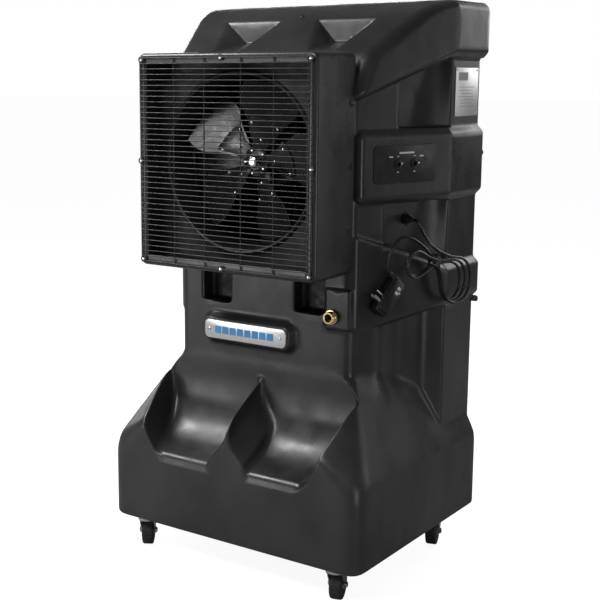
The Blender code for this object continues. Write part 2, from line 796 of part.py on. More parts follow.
def plug():
    """The plug's body with a ground-fault module, its two flat blades and its ground pin."""
    along = (PLUG_END - PLUG_TOP).normalized()
    outward = Vector((*ANGLE_OUT, 0))
    across = along.cross(outward)
    turn = Matrix((across, along, outward)).transposed().to_4x4()
    frame = Matrix.Translation(PLUG_TOP) @ turn
    length = (PLUG_END - PLUG_TOP).length
    half_width, blade_middle = 0.0215, length - 0.022
    low, high = (-half_width, 0, -0.013), (half_width, length, 0.013)
    body = box("gfci_plug", low, high, BLACK_RUBBER, 0.005, 2)
    neck_start = Vector((0.012, 0.007, 0.0))
    neck = frame.inverted() @ Vector(TAIL_ROUTE[-1]) - neck_start
    neck_tip = neck_start + neck.normalized() * (neck.length - 0.0009)
    join(body, rod("neck", 0.0095, neck_start, neck_tip, sides=16, end_radius=0.0055))
    for height in (-0.0075, 0.0050):
        low = (half_width - 0.004, blade_middle - 0.0035, height)
        join(body, box("blade", low, (half_width + 0.024, blade_middle + 0.0035, height + 0.0016)))
    pin_start = Vector((half_width - 0.004, blade_middle - 0.016, 0.0))
    join(body, rod("pin", 0.0024, pin_start, pin_start + Vector((0.026, 0, 0)), sides=10))
    body.data.transform(frame)


# ---------------------------------------------------------------- water system


def water_inlet():
    start = INLET + Vector((0, -GAP, 0))
    flange = rod("water_inlet", 0.0155, start, start + Vector((0, -0.006, 0)), BRASS, 24)
    join(
        flange,
        rod("spigot", INLET_RADIUS, start + Vector((0, -0.003, 0)), start + Vector((0, 0.022, 0)), sides=20),
        rod("nose", 0.0130, start + Vector((0, -0.004, 0)), start + Vector((0, -0.016, 0)), sides=24),
    )
    cut(flange, rod("bore", 0.0080, start + Vector((0, -0.03, 0)), start + Vector((0, 0.05, 0)), sides=16))


FLOAT_HINGE = Vector((0.150, 0.016, 0.255))


def float_valve():
    body = box("float_valve", (0.135, -0.0196, 0.246), (0.165, 0.008, 0.285), GREY_PLASTIC, 0.003, 1)
    for x in (0.138, 0.158):
        join(body, box("ear", (x, 0.004, 0.248), (x + 0.004, 0.022, 0.262)))
    arm = rod("float_arm", 0.003, FLOAT_HINGE, FLOAT_HINGE + Vector((0, 0.115, -0.050)), BRASS, 10)
    ball = bmesh.new()
    bmesh.ops.create_uvsphere(ball, u_segments=16, v_segments=10, radius=0.032)
    bmesh.ops.translate(ball, vec=FLOAT_HINGE + Vector((0, 0.125, -0.056)), verts=ball.verts)
    knuckle = rod("knuckle", 0.0055, FLOAT_HINGE - Vector((0.0068, 0, 0)), FLOAT_HINGE + Vector((0.0068, 0, 0)), sides=12)
    join(arm, from_bmesh("ball", ball), knuckle)
    pivot(arm, FLOAT_HINGE)
    hose = (
        (INLET.x, INLET.y + 0.022, INLET.z),
        (INLET.x, INLET.y + 0.035, INLET.z),
        (0.203, -0.095, 0.648),
        (0.190, -0.045, 0.600),
        (0.165, -0.008, 0.500),
        (0.152, -0.006, 0.380),
        (0.150, -0.006, 0.310),
        (0.150, -0.006, 0.2855),
    )
    tube("inlet_hose", smooth_route(hose, 0.03), 0.0055, BLACK_RUBBER)


PUMP = Vector((-0.120, 0.110, BASE_BOTTOM + WALL + GAP))
RISER_Y = 0.178


def pump():
    foot = PUMP.z
    strainer = box(
        "pump_strainer", (PUMP.x - 0.050, PUMP.y - 0.042, foot), (PUMP.x + 0.050, PUMP.y + 0.042, foot + 0.030), GREY_PLASTIC, 0.008, 2, along=2
    )
    body = box(
        "pump_body",
        (PUMP.x - 0.040, PUMP.y - 0.034, foot + 0.030 + GAP),
        (PUMP.x + 0.040, PUMP.y + 0.034, foot + 0.095),
        BLACK_PAINT,
        0.006,
        2,
    )
    outlet_top = foot + 0.112
    join(body, rod("outlet", 0.011, (PUMP.x, PUMP.y, foot + 0.090), (PUMP.x, PUMP.y, outlet_top), sides=16))
    riser = (
        (PUMP.x, PUMP.y, outlet_top + GAP),
        (PUMP.x, PUMP.y, outlet_top + 0.030),
        (PUMP.x, 0.150, 0.360),
        (PUMP.x, RISER_Y, 0.480),
        (PUMP.x, RISER_Y, 0.900),
        (PUMP.x, RISER_Y, 1.270),
        (PUMP.x, RISER_Y + 0.014, 1.302),
        (PUMP.x, 0.2150, 1.312),
        (PUMP.x, 0.2293, 1.312),
    )
    tube("riser_pipe", smooth_route(riser, 0.05), 0.0075, GREY_PLASTIC)
    pipe = (0.240, 1.312)
    tube("distribution_pipe", [(-0.292, *pipe), (0.292, *pipe)], 0.010, GREY_PLASTIC)
    return strainer


def pads():
    count = 3
    width = 2 * PAD_X / count
    for number, name in enumerate(("pad_right", "pad_middle", "pad_left")):
        left = -PAD_X + number * width
        box(name, (left + GAP, PAD_FRONT, PAD_LOW), (left + width - GAP, PAD_REAR, PAD_HIGH), PADDING)


FRAME_FRONT, FRAME_REAR = 0.2945, 0.3130


def pad_frame():
    x, low, high = BAY_X - 0.002, 0.455, 1.332
    frame = box("pad_frame", (-x, FRAME_FRONT, low), (x, FRAME_REAR, high), BLACK_PAINT)
    rim, mullion = 0.030, 0.010
    for z in (low + rim, (low + high) / 2 + mullion):
        top = z + (high - low) / 2 - rim - mullion
        for edge in (-x + rim, mullion):
            cut(frame, box("light", (edge, 0.28, z), (edge + x - rim - mullion, 0.33, top)))
    buttons = {"lower": 0.650, "upper": 1.030}
    for side, word in ((1, "right"), (-1, "left")):
        for level, z in buttons.items():
            centre = Vector((side * 0.326, REAR + GAP, z))
            low_corner = centre + Vector((-0.0345, 0, -0.008))
            button = box("button", low_corner, centre + Vector((0.0345, 0.003, 0.008)), ZINC, 0.005, 2, along=1)
            head_start, head_end = centre + Vector((0, 0.002, 0)), Vector((centre.x, -FRONT, z))
            join(button, rod("head", 0.007, head_start, head_end, sides=12))
            button.name = f"turn_button_{level}_{word}"
            pivot(button, centre)


def drain_cap():
    cap_piece = rod("drain_cap", 0.020, (0.24, REAR + GAP, 0.125), (0.24, REAR + 0.0055, 0.125), BLACK_RUBBER, 24)
    join(cap_piece, rod("plug", 0.0120, (0.24, REAR - 0.020, 0.125), (0.24, REAR + 0.003, 0.125), sides=20))


# ---------------------------------------------------------------- plates, casters


def plates():
    outline = rounded_rectangle(NAMEPLATE_LOW, NAMEPLATE_HIGH, 0.010, 3)
    prism("nameplate", outline, BOSS_FRONT - 0.003, BOSS_FRONT - GAP, "Y", STEEL)
    label = rounded_rectangle((0.1715, 1.123), (0.2985, 1.241), 0.006, 2)
    face = ANGLE_REAR.x + GAP
    prism("rating_plate", label, face, face + 0.0015, "X", WHITE_LABEL)


def caster(name, x, y, heading):
    """A plate, a swivel fork, an axle and a wheel; the wheel trails behind the swivel."""
    swivel = empty(f"caster_{name}_swivel", (x, y, BASE_BOTTOM - 0.010))
    turn = Matrix.Translation((x, y, 0)) @ Matrix.Rotation(math.radians(heading), 4, "Z")
    plate_top = BASE_BOTTOM - GAP
    plate = box("plate", (x - 0.030, y - 0.024, plate_top - 0.003), (x + 0.030, y + 0.024, plate_top), ZINC, 0.006, 2, along=2)
    plate.name = f"caster_{name}_plate"
    top = plate_top - 0.003 - GAP
    fork = rod("fork", 0.023, (0, 0, top - 0.008), (0, 0, top), ZINC, 24)
    leg_inner, leg_wall = WHEEL_WIDTH / 2 + 0.002, 0.002
    bridge_low = 2 * WHEEL_RADIUS + 0.002
    reach = leg_inner + leg_wall
    bridge = box("bridge", (-0.014, -reach, bridge_low), (CASTER_TRAIL + 0.010, reach, top - 0.004))
    join(fork, bridge)
    for side in (-1, 1):
        outline = [(-0.012, bridge_low + 0.004), (CASTER_TRAIL + 0.009, bridge_low + 0.004)]
        outline += arc((CASTER_TRAIL, WHEEL_RADIUS), 0.009, 0, -180, 6)
        low, high = sorted((side * leg_inner, side * (leg_inner + leg_wall)))
        join(fork, prism("leg", outline, low, high, "Y"))
    axle_radius = 0.004
    cut(fork, rod("axle_hole", axle_radius + GAP, (CASTER_TRAIL, -0.05, WHEEL_RADIUS), (CASTER_TRAIL, 0.05, WHEEL_RADIUS), sides=14))
    axle = rod("axle", axle_radius, (CASTER_TRAIL, -reach - 0.005, WHEEL_RADIUS), (CASTER_TRAIL, reach + 0.005, WHEEL_RADIUS), ZINC, 12)
    for side in (-1, 1):
        start, end = side * (reach + GAP), side * (reach + 0.004)
        join(axle, rod("nut", 0.0075, (CASTER_TRAIL, start, WHEEL_RADIUS), (CASTER_TRAIL, end, WHEEL_RADIUS), sides=6))
    half = WHEEL_WIDTH / 2
    bore, shoulder, chamfer = axle_radius + 0.0006, WHEEL_RADIUS - 0.0015, WHEEL_RADIUS - 0.010
    tread = [(bore, -half), (bore, half), (chamfer, half), (shoulder, half - 0.002)]
    tread += [(WHEEL_RADIUS, half - 0.005), (WHEEL_RADIUS, -half + 0.005)]
    tread += [(shoulder, -half + 0.002), (chamfer, -half)]
    wheel = turned("wheel", tread[::-1], (CASTER_TRAIL, 0, WHEEL_RADIUS), (0, 1, 0), BLACK_RUBBER, 24)
    hub_point = turn @ Vector((CASTER_TRAIL, 0, WHEEL_RADIUS))
    for piece, word, origin in ((fork, "fork", swivel.location), (axle, "axle", hub_point), (wheel, "wheel", hub_point)):
        piece.data.transform(turn)
        piece.name = f"caster_{name}_{word}"
        pivot(piece, origin, swivel)


# ---------------------------------------------------------------- assembly

housing()
fan_cowl()
venturi_panel()
fan_guard()
fan_rotor()
motor()
control_panel()
gland()
cord()
plug()
tube("cord_lead", smooth_route(LEAD_ROUTE, 0.016), CORD_RADIUS, BLACK_RUBBER)
tube("cord_tail", smooth_route(TAIL_ROUTE, 0.016), CORD_RADIUS, BLACK_RUBBER)
water_inlet()
float_valve()
pump()
pads()
pad_frame()
drain_cap()
plates()
for caster_name, caster_place in CASTERS.items():
    caster(caster_name, *caster_place)
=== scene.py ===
"""Looks of the portable evaporative cooler: its moulded housing, fan, guard, cord and trim.

Metres, +Z up, the fan blows towards -Y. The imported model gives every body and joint; this script
adds the visible surfaces, their materials, the light and the camera.
"""

import json
import math

import bmesh
import bpy
import numpy as np
import openvdb
from mathutils import Matrix, Vector


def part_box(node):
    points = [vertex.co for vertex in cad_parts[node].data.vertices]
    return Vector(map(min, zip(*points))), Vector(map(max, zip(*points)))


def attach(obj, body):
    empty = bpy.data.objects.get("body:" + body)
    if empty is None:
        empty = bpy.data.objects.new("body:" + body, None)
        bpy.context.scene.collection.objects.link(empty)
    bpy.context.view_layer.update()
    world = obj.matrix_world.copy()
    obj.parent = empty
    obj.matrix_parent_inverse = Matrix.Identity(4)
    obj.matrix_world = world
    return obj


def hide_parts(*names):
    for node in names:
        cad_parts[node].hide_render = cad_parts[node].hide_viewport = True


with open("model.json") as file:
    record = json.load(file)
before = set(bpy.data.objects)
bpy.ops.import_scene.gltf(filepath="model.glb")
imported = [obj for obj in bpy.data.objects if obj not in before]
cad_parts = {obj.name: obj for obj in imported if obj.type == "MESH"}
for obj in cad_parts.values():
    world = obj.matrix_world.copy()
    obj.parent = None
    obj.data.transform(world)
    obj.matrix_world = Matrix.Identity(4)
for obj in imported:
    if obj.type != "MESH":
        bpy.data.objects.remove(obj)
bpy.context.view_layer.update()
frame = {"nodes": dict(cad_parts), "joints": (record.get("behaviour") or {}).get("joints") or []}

SCENE = bpy.context.scene
SIDES = (1, -1)
FRONTWARDS = (0, -1, 0)
# A frame that faces the front: x to the right, y up, z out of it
FACING_FRONT = Matrix(((1, 0, 0, 0), (0, 0, -1, 0), (0, 1, 0, 0), (0, 0, 0, 1)))
VOXEL = 0.003
BAND = 4 * VOXEL  # distances past this are all alike in a volume
HOUSING_TRIANGLES = 190000

# Sizes that the CAD model fixes
REAR = 0.3135
HEIGHT = 1.402
COLUMN_FRONT = -0.1535
ANGLE_FRONT = Vector((0.254, -0.140))
ANGLE_REAR = Vector((0.346, 0.133))
ALONG = (ANGLE_REAR - ANGLE_FRONT).normalized()
OUT = Vector((ALONG.y, -ALONG.x))
BELT = 0.015
POCKET_DEPTH = 0.042
RECESS_DEPTH = 0.042
FAN = Vector((0.0, -0.184, 1.019))
COWL_FRONT, COWL_HALF = -0.3135, 0.255
GUARD_Y = -0.318
VENTURI_Y, RING_RADIUS = -0.2535, 0.2045


# ---------------------------------------------------------------- materials


class Finish:
    """A new material: its methods add nodes that read the object's own coordinates."""

    def __init__(self, name):
        self.material = bpy.data.materials.new(name)
        self.material.use_nodes = True
        self.nodes = self.material.node_tree.nodes
        self.links = self.material.node_tree.links
        self.shader = self.nodes["Principled BSDF"]
        self.place = self.nodes.new("ShaderNodeTexCoord").outputs["Object"]

    def noise(self, scale, detail=3.0, stretch=None):
        place = self.place
        if stretch:
            mapping = self.nodes.new("ShaderNodeMapping")
            mapping.inputs["Scale"].default_value = stretch
            self.links.new(place, mapping.inputs["Vector"])
            place = mapping.outputs["Vector"]
        node = self.nodes.new("ShaderNodeTexNoise")
        node.inputs["Scale"].default_value = scale
        node.inputs["Detail"].default_value = detail
        self.links.new(place, node.inputs["Vector"])
        return node.outputs["Fac"]

    def spread(self, value, low, high):
        """Maps the middle of a noise's range to the range from low to high."""
        node = self.nodes.new("ShaderNodeMapRange")
        ranges = {"From Min": 0.3, "From Max": 0.7, "To Min": low, "To Max": high}
        for name, number in ranges.items():
            node.inputs[name].default_value = number
        self.links.new(value, node.inputs["Value"])
        return node.outputs["Result"]

    def colour(self, value, first, second):
        """Makes the base colour vary between two colours with a noise."""
        node = self.nodes.new("ShaderNodeMix")
        node.data_type = "RGBA"
        node.inputs["A"].default_value = (*first, 1)
        node.inputs["B"].default_value = (*second, 1)
        self.links.new(self.spread(value, 0, 1), node.inputs["Factor"])
        self.links.new(node.outputs["Result"], self.shader.inputs["Base Color"])

    def roughness(self, value, low, high):
        self.links.new(self.spread(value, low, high), self.shader.inputs["Roughness"])

    def bump(self, height, strength, distance, under=None):
        node = self.nodes.new("ShaderNodeBump")
        node.inputs["Strength"].default_value = strength
        node.inputs["Distance"].default_value = distance
        self.links.new(height, node.inputs["Height"])
        if under:
            self.links.new(under, node.inputs["Normal"])
        self.links.new(node.outputs["Normal"], self.shader.inputs["Normal"])
        return node.outputs["Normal"]


def moulded(name, dark, light, rough_low, rough_high):
    """Moulded plastic: cloudy colour and gloss, slow waves in the skin and a fine grain."""
    finish = Finish(name)
    finish.colour(finish.noise(5.5, 6.0), dark, light)
    finish.roughness(finish.noise(16.0, 5.0, (1.0, 1.0, 0.6)), rough_low, rough_high)
    waves = finish.bump(finish.noise(11.0, 2.0), 0.35, 0.0035)
    finish.bump(finish.noise(900.0, 2.0), 0.12, 0.0004, waves)
    return finish.material


def painted(name, colour, roughness, grain=0.05, metallic=0.0):
    """Smooth enamel, or a plated finish when metallic, with slight unevenness."""
    finish = Finish(name)
    finish.colour(finish.noise(28.0, 4.0), tuple(0.8 * c for c in colour), colour)
    finish.roughness(finish.noise(60.0), roughness * 0.8, roughness * 1.25)
    finish.shader.inputs["Metallic"].default_value = metallic
    finish.bump(finish.noise(450.0, 2.0), grain, 0.0004)
    return finish.material


def brushed(name, colour, roughness, direction):
    """Brushed metal, its fine lines stretched along one axis."""
    finish = Finish(name)
    lines = finish.noise(60.0, 6.0, direction)
    finish.colour(lines, tuple(0.72 * c for c in colour), colour)
    finish.roughness(lines, roughness * 0.8, roughness * 1.3)
    finish.shader.inputs["Metallic"].default_value = 1.0
    finish.bump(lines, 0.12, 0.0003)
    return finish.material


def paper_media(name):
    """Corrugated cellulose: reddish brown and mottled by water."""
    finish = Finish(name)
    finish.colour(finish.noise(18.0, 6.0), (0.16, 0.055, 0.022), (0.34, 0.14, 0.06))
    finish.shader.inputs["Roughness"].default_value = 0.85
    finish.bump(finish.noise(700.0, 4.0), 0.5, 0.0006)
    return finish.material


POLY = moulded("moulded_black", (0.0120, 0.0120, 0.0126), (0.032, 0.0315, 0.031), 0.25, 0.42)
COWL_POLY = moulded("moulded_cowl", (0.0170, 0.0170, 0.0176), (0.028, 0.028, 0.0285), 0.22, 0.34)
ENAMEL = painted("black_enamel", (0.011, 0.011, 0.012), 0.30, grain=0.02)
# Dull black enamel of the venturi panel and the screws; on the housing it also paints the recesses
# under the cowl darker, as painted shade
DULL_BLACK_AND_RECESS_SHADE = painted("dull_enamel_and_painted_recess_shade", (0.006, 0.006, 0.0065), 0.52)
WIRE = painted("black_wire", (0.008, 0.008, 0.009), 0.34)
PANEL = painted("panel_black", (0.014, 0.014, 0.016), 0.38)
RUBBER = painted("cord_rubber", (0.010, 0.010, 0.010), 0.26, grain=0.1)
WHEEL_RUBBER = painted("wheel_rubber", (0.016, 0.016, 0.016), 0.55, grain=0.5)
STEEL = painted("bright_steel", (0.72, 0.72, 0.74), 0.20, metallic=1.0)
ZINC = painted("zinc_plate", (0.66, 0.66, 0.64), 0.30, metallic=1.0, grain=0.15)
SILVER = brushed("silver_plate", (0.80, 0.81, 0.83), 0.30, (1.0, 1.0, 60.0))
LABEL = brushed("label_foil", (0.86, 0.86, 0.87), 0.38, (1.0, 1.0, 40.0))
BLUE = painted("blue_print", (0.055, 0.30, 0.62), 0.35)
WHITE_PRINT = painted("white_print", (0.78, 0.78, 0.78), 0.5)
BRASS = painted("brass", (0.86, 0.66, 0.34), 0.18, metallic=1.0)
GREY = moulded("grey_plastic", (0.22, 0.23, 0.24), (0.30, 0.31, 0.32), 0.35, 0.5)
MEDIA = paper_media("pad_media")
YELLOW = painted("yellow_button", (0.72, 0.62, 0.16), 0.4)


# ---------------------------------------------------------------- mesh helpers


def mesh_of(bm):
    mesh = bpy.data.meshes.new("mesh")
    bmesh.ops.recalc_face_normals(bm, faces=bm.faces)
    bm.to_mesh(mesh)
    bm.free()
    return mesh


def add_piece(name, shape, material, replaced=(), body="root", smooth=35):
    """Adds a mesh as a visible piece that rides on a body, and may replace CAD nodes.

    Edges sharper than smooth, in degrees, stay sharp, and with smooth at 0 none does.
    """
    mesh = shape if isinstance(shape, bpy.types.Mesh) else mesh_of(shape)
    piece = bpy.data.objects.new(name, mesh)
    SCENE.collection.objects.link(piece)
    mesh.materials.append(material)
    mesh.shade_smooth()
    if smooth:
        mesh.set_sharp_from_angle(angle=math.radians(smooth))
    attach(piece, body)
    if replaced:
        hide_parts(*replaced)
    return piece


def add_modifier(piece, kind, name, **settings):
    modifier = piece.modifiers.new(name, kind)
    for key, value in settings.items():
        setattr(modifier, key, value)


def axis_matrix(place, direction):
    """A frame whose Z axis is the direction."""
    turn = Vector(direction).to_track_quat("Z", "Y").to_matrix().to_4x4()
    return Matrix.Translation(place) @ turn


def bridge(bm, rings, closed=False):
    """Faces between each ring of vertices and the next, and back to the first if closed."""
    for first, second in zip(rings, rings[1:] + (rings[:1] if closed else [])):
        for k in range(len(first)):
            after = (k + 1) % len(first)
            bm.faces.new([first[k], first[after], second[after], second[k]])


def lathe(bm, profile, matrix, steps=32):
    """A turned shape round the matrix's Z axis, from points (radius, height)."""
    rings = []
    for radius, height in profile:
        if radius < 1e-6:
            rings.append([bm.verts.new(matrix @ Vector((0, 0, height)))])
            continue
        angles = [math.tau * k / steps for k in range(steps)]
        points = [(radius * math.cos(a), radius * math.sin(a), height) for a in angles]
        rings.append([bm.verts.new(matrix @ Vector(p)) for p in points])
    for lower, upper in zip(rings, rings[1:]):
        for k in range(steps):
            after = k + 1
            corners = [(lower, k), (lower, after), (upper, after), (upper, k)]
            unique = list(dict.fromkeys(ring[n % len(ring)] for ring, n in corners))
            if len(unique) > 2:
                bm.faces.new(unique)


def tube(bm, points, radius, sides=8, closed=False):
    """A round wire along a list of points."""
    points = [Vector(p) for p in points]
    count = len(points)
    rings = []
    normal = None
    for k, point in enumerate(points):
        before = points[(k - 1) % count] if closed or k else point
        after = points[(k + 1) % count] if closed or k < count - 1 else point
        tangent = (after - before).normalized()
        if normal is None:
            normal = tangent.orthogonal().normalized()
        normal = (normal - tangent * normal.dot(tangent)).normalized()
        side = tangent.cross(normal)
        ring = []
        for j in range(sides):
            a = math.tau * j / sides
            ring.append(bm.verts.new(point + (normal * math.cos(a) + side * math.sin(a)) * radius))
        rings.append(ring)
    bridge(bm, rings, closed)
    if not closed:
        bm.faces.new(rings[0][::-1])
        bm.faces.new(rings[-1])


def arc(centre, radius, start, end, count):
    """Points along an arc between two angles in degrees."""
    turns = [math.radians(start + (end - start) * k / count) for k in range(count + 1)]
    return [(centre[0] + radius * math.cos(t), centre[1] + radius * math.sin(t)) for t in turns]


def rounded_outline(points, radii, count=6):
    """A closed outline with each corner turned into an arc."""
    outline = []
    if not hasattr(radii, "__len__"):
        radii = [radii] * len(points)
    for k, (point, radius) in enumerate(zip(points, radii)):
        corner = Vector(point)
        if radius <= 0:
            outline.append(tuple(corner))
            continue
        back = (Vector(points[k - 1]) - corner).normalized()
        ahead = (Vector(points[(k + 1) % len(points)]) - corner).normalized()
        half = back.angle(ahead) / 2
        reach = radius / math.tan(half)
        centre = corner + (back + ahead).normalized() * (radius / math.sin(half))
        first, last = corner + back * reach - centre, corner + ahead * reach - centre
        for step in range(count + 1):
            outline.append(tuple(centre + first.slerp(last, step / count) * radius))
    return outline


def plate(bm, outline, matrix, bottom, top, bevel=0.0, segments=2):
    """A flat outline in the matrix's XY plane, with thickness and a rounded top edge."""
    levels = [(bottom, 0.0), (top - bevel, 0.0)]
    for k in range(1, segments + 1):
        turn = math.pi / 2 * k / segments
        levels.append((top - bevel + bevel * math.sin(turn), bevel * (1 - math.cos(turn))))
    if not bevel:
        levels = [(bottom, 0.0), (top, 0.0)]
    rings = []
    for height, inset in levels:
        ring = inset_outline(outline, inset)
        rings.append([bm.verts.new(matrix @ Vector((x, y, height))) for x, y in ring])
    bridge(bm, rings)
    bm.faces.new(rings[0][::-1])
    bm.faces.new(rings[-1])


def hexagon(radius):
    return [(x, y) for x, y in arc((0.0, 0.0), radius, 0, 300, 5)]


def inset_outline(outline, distance):
    """A counterclockwise outline moved inwards, or outwards for a distance below 0."""
    if not distance:
        return outline
    moved = []
    for k, point in enumerate(outline):
        here = Vector(point)
        before = (here - Vector(outline[k - 1])).normalized()
        after = (Vector(outline[(k + 1) % len(outline)]) - here).normalized()
        normal = Vector((-before.y - after.y, before.x + after.x))
        if normal.length < 1e-6:
            normal = Vector((-after.y, after.x))
        moved.append(tuple(here + normal.normalized() * distance))
    return moved


def rectangle(half_x, half_y, radius, centre=(0.0, 0.0), count=6):
    """A rectangle's outline, with one corner radius or four."""
    turns = ((-1, -1), (1, -1), (1, 1), (-1, 1))
    corners = [(centre[0] + u * half_x, centre[1] + v * half_y) for u, v in turns]
    return rounded_outline(corners, radius, count)


def on_angle(y, out=0.0):
    """The plan point of the column's angled face at a given y, moved outwards."""
    t = (y - ANGLE_FRONT.y) / (ANGLE_REAR.y - ANGLE_FRONT.y)
    return ANGLE_FRONT.lerp(ANGLE_REAR, t) + OUT * out


def angle_frame(y, z, out):
    """A frame on the angled face: x along it to the rear, y up, z out of it."""
    turn = Matrix((Vector((*ALONG, 0)), Vector((0, 0, 1)), Vector((*OUT, 0)))).transposed().to_4x4()
    return Matrix.Translation((*on_angle(y, out), z)) @ turn


def smooth_path(points, step):
    """Points at even steps along a smooth curve through the given points."""
    route = [Vector(p) for p in points]
    ends = [2 * route[0] - route[1]] + route + [2 * route[-1] - route[-2]]
    dense = []
    for before, start, end, after in zip(ends, ends[1:], ends[2:], ends[3:]):
        for k in range(16):
            t = k / 16
            square = (2 * before - 5 * start + 4 * end - after) * t * t
            cube = (3 * start - before - 3 * end + after) * t**3
            dense.append(0.5 * (2 * start + (end - before) * t + square + cube))
    dense.append(route[-1])
    lengths = [0.0]
    for a, b in zip(dense, dense[1:]):
        lengths.append(lengths[-1] + (b - a).length)
    count = max(2, round(lengths[-1] / step))
    path, k = [], 0
    for index in range(count + 1):
        wanted = lengths[-1] * index / count
        while k < len(dense) - 2 and lengths[k + 1] < wanted:
            k += 1
        span = lengths[k + 1] - lengths[k]
        path.append(dense[k].lerp(dense[k + 1], (wanted - lengths[k]) / span if span else 0.0))
    return path


def relaxed(path, rounds):
    """A cord's path once its tightest bends have sprung open, with its ends held."""
    last = len(path) - 1
    shares = [0.5 * min(1.0, k / 9, (last - k) / 9) for k in range(last + 1)]
    for _ in range(rounds):
        places = zip(path, path[1:], path[2:], shares[1:])
        middle = [p.lerp((a + b) / 2, share) for a, p, b, share in places]
        path = [path[0], *middle, path[-1]]
    return path


# ---------------------------------------------------------------- volumes


class Volume:
    """Distances on a grid, negative inside, that shapes are joined to and cut from."""

    def __init__(self, low, high):
        self.axes = [np.arange(a, b, VOXEL, dtype=np.float32) for a, b in zip(low, high)]
        self.field = np.full([len(a) for a in self.axes], 1.0, np.float32)

    def window(self, low, high):
        spans = [slice(*np.searchsorted(a, (l, h))) for a, l, h in zip(self.axes, low, high)]
        x, y, z = (a[s] for a, s in zip(self.axes, spans))
        return tuple(spans), (x[:, None, None], y[None, :, None], z[None, None, :])

    def apply(self, action, shape, low, high, radius):
        spans, place = self.window(low, high)
        if callable(radius):
            radius = radius(*place)
        self.field[spans] = action(self.field[spans], shape(*place), radius)

    def mirrored(self):
        """Reflects the half with x above 0 to the other side."""
        start = int(np.searchsorted(self.axes[0], -VOXEL / 2))
        x = self.axes[0][start:] - self.axes[0][start]
        self.axes[0] = np.concatenate([-x[:0:-1], x])
        half = self.field[start:]
        self.field = np.concatenate([half[:0:-1], half])

    def sample(self, points):
        """The field at some points, between its grid points."""
        index = [(points[:, k] - self.axes[k][0]) / VOXEL for k in range(3)]
        whole = [np.clip(i.astype(int), 0, len(a) - 2) for i, a in zip(index, self.axes)]
        part = [i - w for i, w in zip(index, whole)]
        value = 0.0
        for corner in np.ndindex(2, 2, 2):
            weight = 1.0
            for c, p in zip(corner, part):
                weight = weight * (p if c else 1 - p)
            value = value + weight * self.field[tuple(w + c for w, c in zip(whole, corner))]
        return value

    def normals(self, points):
        """The surface's true directions, which hide the grid's steps in the shading."""
        reach = 0.8 * VOXEL
        slopes = []
        for k in range(3):
            step = np.zeros(3)
            step[k] = reach
            slopes.append(self.sample(points + step) - self.sample(points - step))
        slope = np.stack(slopes, 1)
        return slope / np.maximum(np.linalg.norm(slope, axis=1), 1e-9)[:, None]

    def mesh(self, name):
        """The surface as a mesh, with larger faces where it is nearly flat."""
        self.field = np.clip(self.field, -BAND, BAND)
        grid = openvdb.FloatGrid(BAND)
        grid.copyFromArray(self.field.astype(np.float32))
        points, triangles, quads = grid.convertToPolygons(0.0, 0.02)
        corner = np.array([a[0] for a in self.axes])
        points = points.astype(float) * VOXEL + corner
        mesh = bpy.data.meshes.new(name)
        mesh.from_pydata(points.tolist(), [], quads.tolist() + triangles.tolist())
        mesh.update()
        return mesh


# join, keep_both and cut combine two distances, with a rounded edge of radius r between them


def join(a, b, r):
    if np.isscalar(r) and not r:
        return np.minimum(a, b)
    corner = np.sqrt(np.maximum(r - a, 0) ** 2 + np.maximum(r - b, 0) ** 2)
    return np.maximum(r, np.minimum(a, b)) - corner


def keep_both(a, b, r):
    if np.isscalar(r) and not r:
        return np.maximum(a, b)
    corner = np.sqrt(np.maximum(r + a, 0) ** 2 + np.maximum(r + b, 0) ** 2)
    return np.minimum(-r, np.maximum(a, b)) + corner


def cut(a, b, r):
    return keep_both(a, -b, r)


def outline_distance(u, v, outline):
    """Signed distance to a closed outline, negative inside."""
    shape = np.broadcast(u, v).shape
    best = np.full(shape, 1e9, np.float32)
    inside = np.zeros(shape, bool)
    for (x0, y0), (x1, y1) in zip(outline, outline[1:] + outline[:1]):
        ex, ey = x1 - x0, y1 - y0
        size = ex * ex + ey * ey
        if size < 1e-14:
            continue
        t = np.clip(((u - x0) * ex + (v - y0) * ey) / size, 0, 1)
        best = np.minimum(best, (u - x0 - t * ex) ** 2 + (v - y0 - t * ey) ** 2)
        if ey:
            crosses = ((y0 <= v) & (v < y1)) | ((y1 <= v) & (v < y0))
            inside ^= crosses & (u < x0 + (v - y0) * ex / ey)
    return np.where(inside, -1, 1).astype(np.float32) * np.sqrt(best)


def hull_planes(points):
    """The outward normals and levels of a convex hull's faces."""
    bm = bmesh.new()
    for point in points:
        bm.verts.new(point)
    bmesh.ops.convex_hull(bm, input=list(bm.verts))
    middle = sum((Vector(p) for p in points), Vector()) / len(points)
    planes = []
    for face in bm.faces:
        a, b, c = (v.co for v in face.verts[:3])
        normal = (b - a).cross(c - a)
        if normal.length < 1e-12:
            continue
        normal.normalize()
        if normal.dot(a - middle) < 0:
            normal = -normal
        level = normal.dot(a)
        if all(normal.dot(n) < 0.99995 or abs(level - d) > 1e-4 for n, d in planes):
            planes.append((normal, level))
    bm.free()
    return planes


def hull_distance(points, mirrored=True):
    """Distance to a convex hull on the right-hand side, and on the left-hand one alike.

    A mirrored hull lies across x = 0, so its left-hand planes are left out.
    """
    planes = [(n, d) for n, d in hull_planes(points) if not mirrored or n.x > -1e-4]

    def distance(x, y, z):
        side = np.abs(x)
        result = None
        for normal, level in planes:
            part = normal.x * side + normal.y * y + normal.z * z - level
            result = part if result is None else np.maximum(result, part)
        return result.astype(np.float32)

    return distance


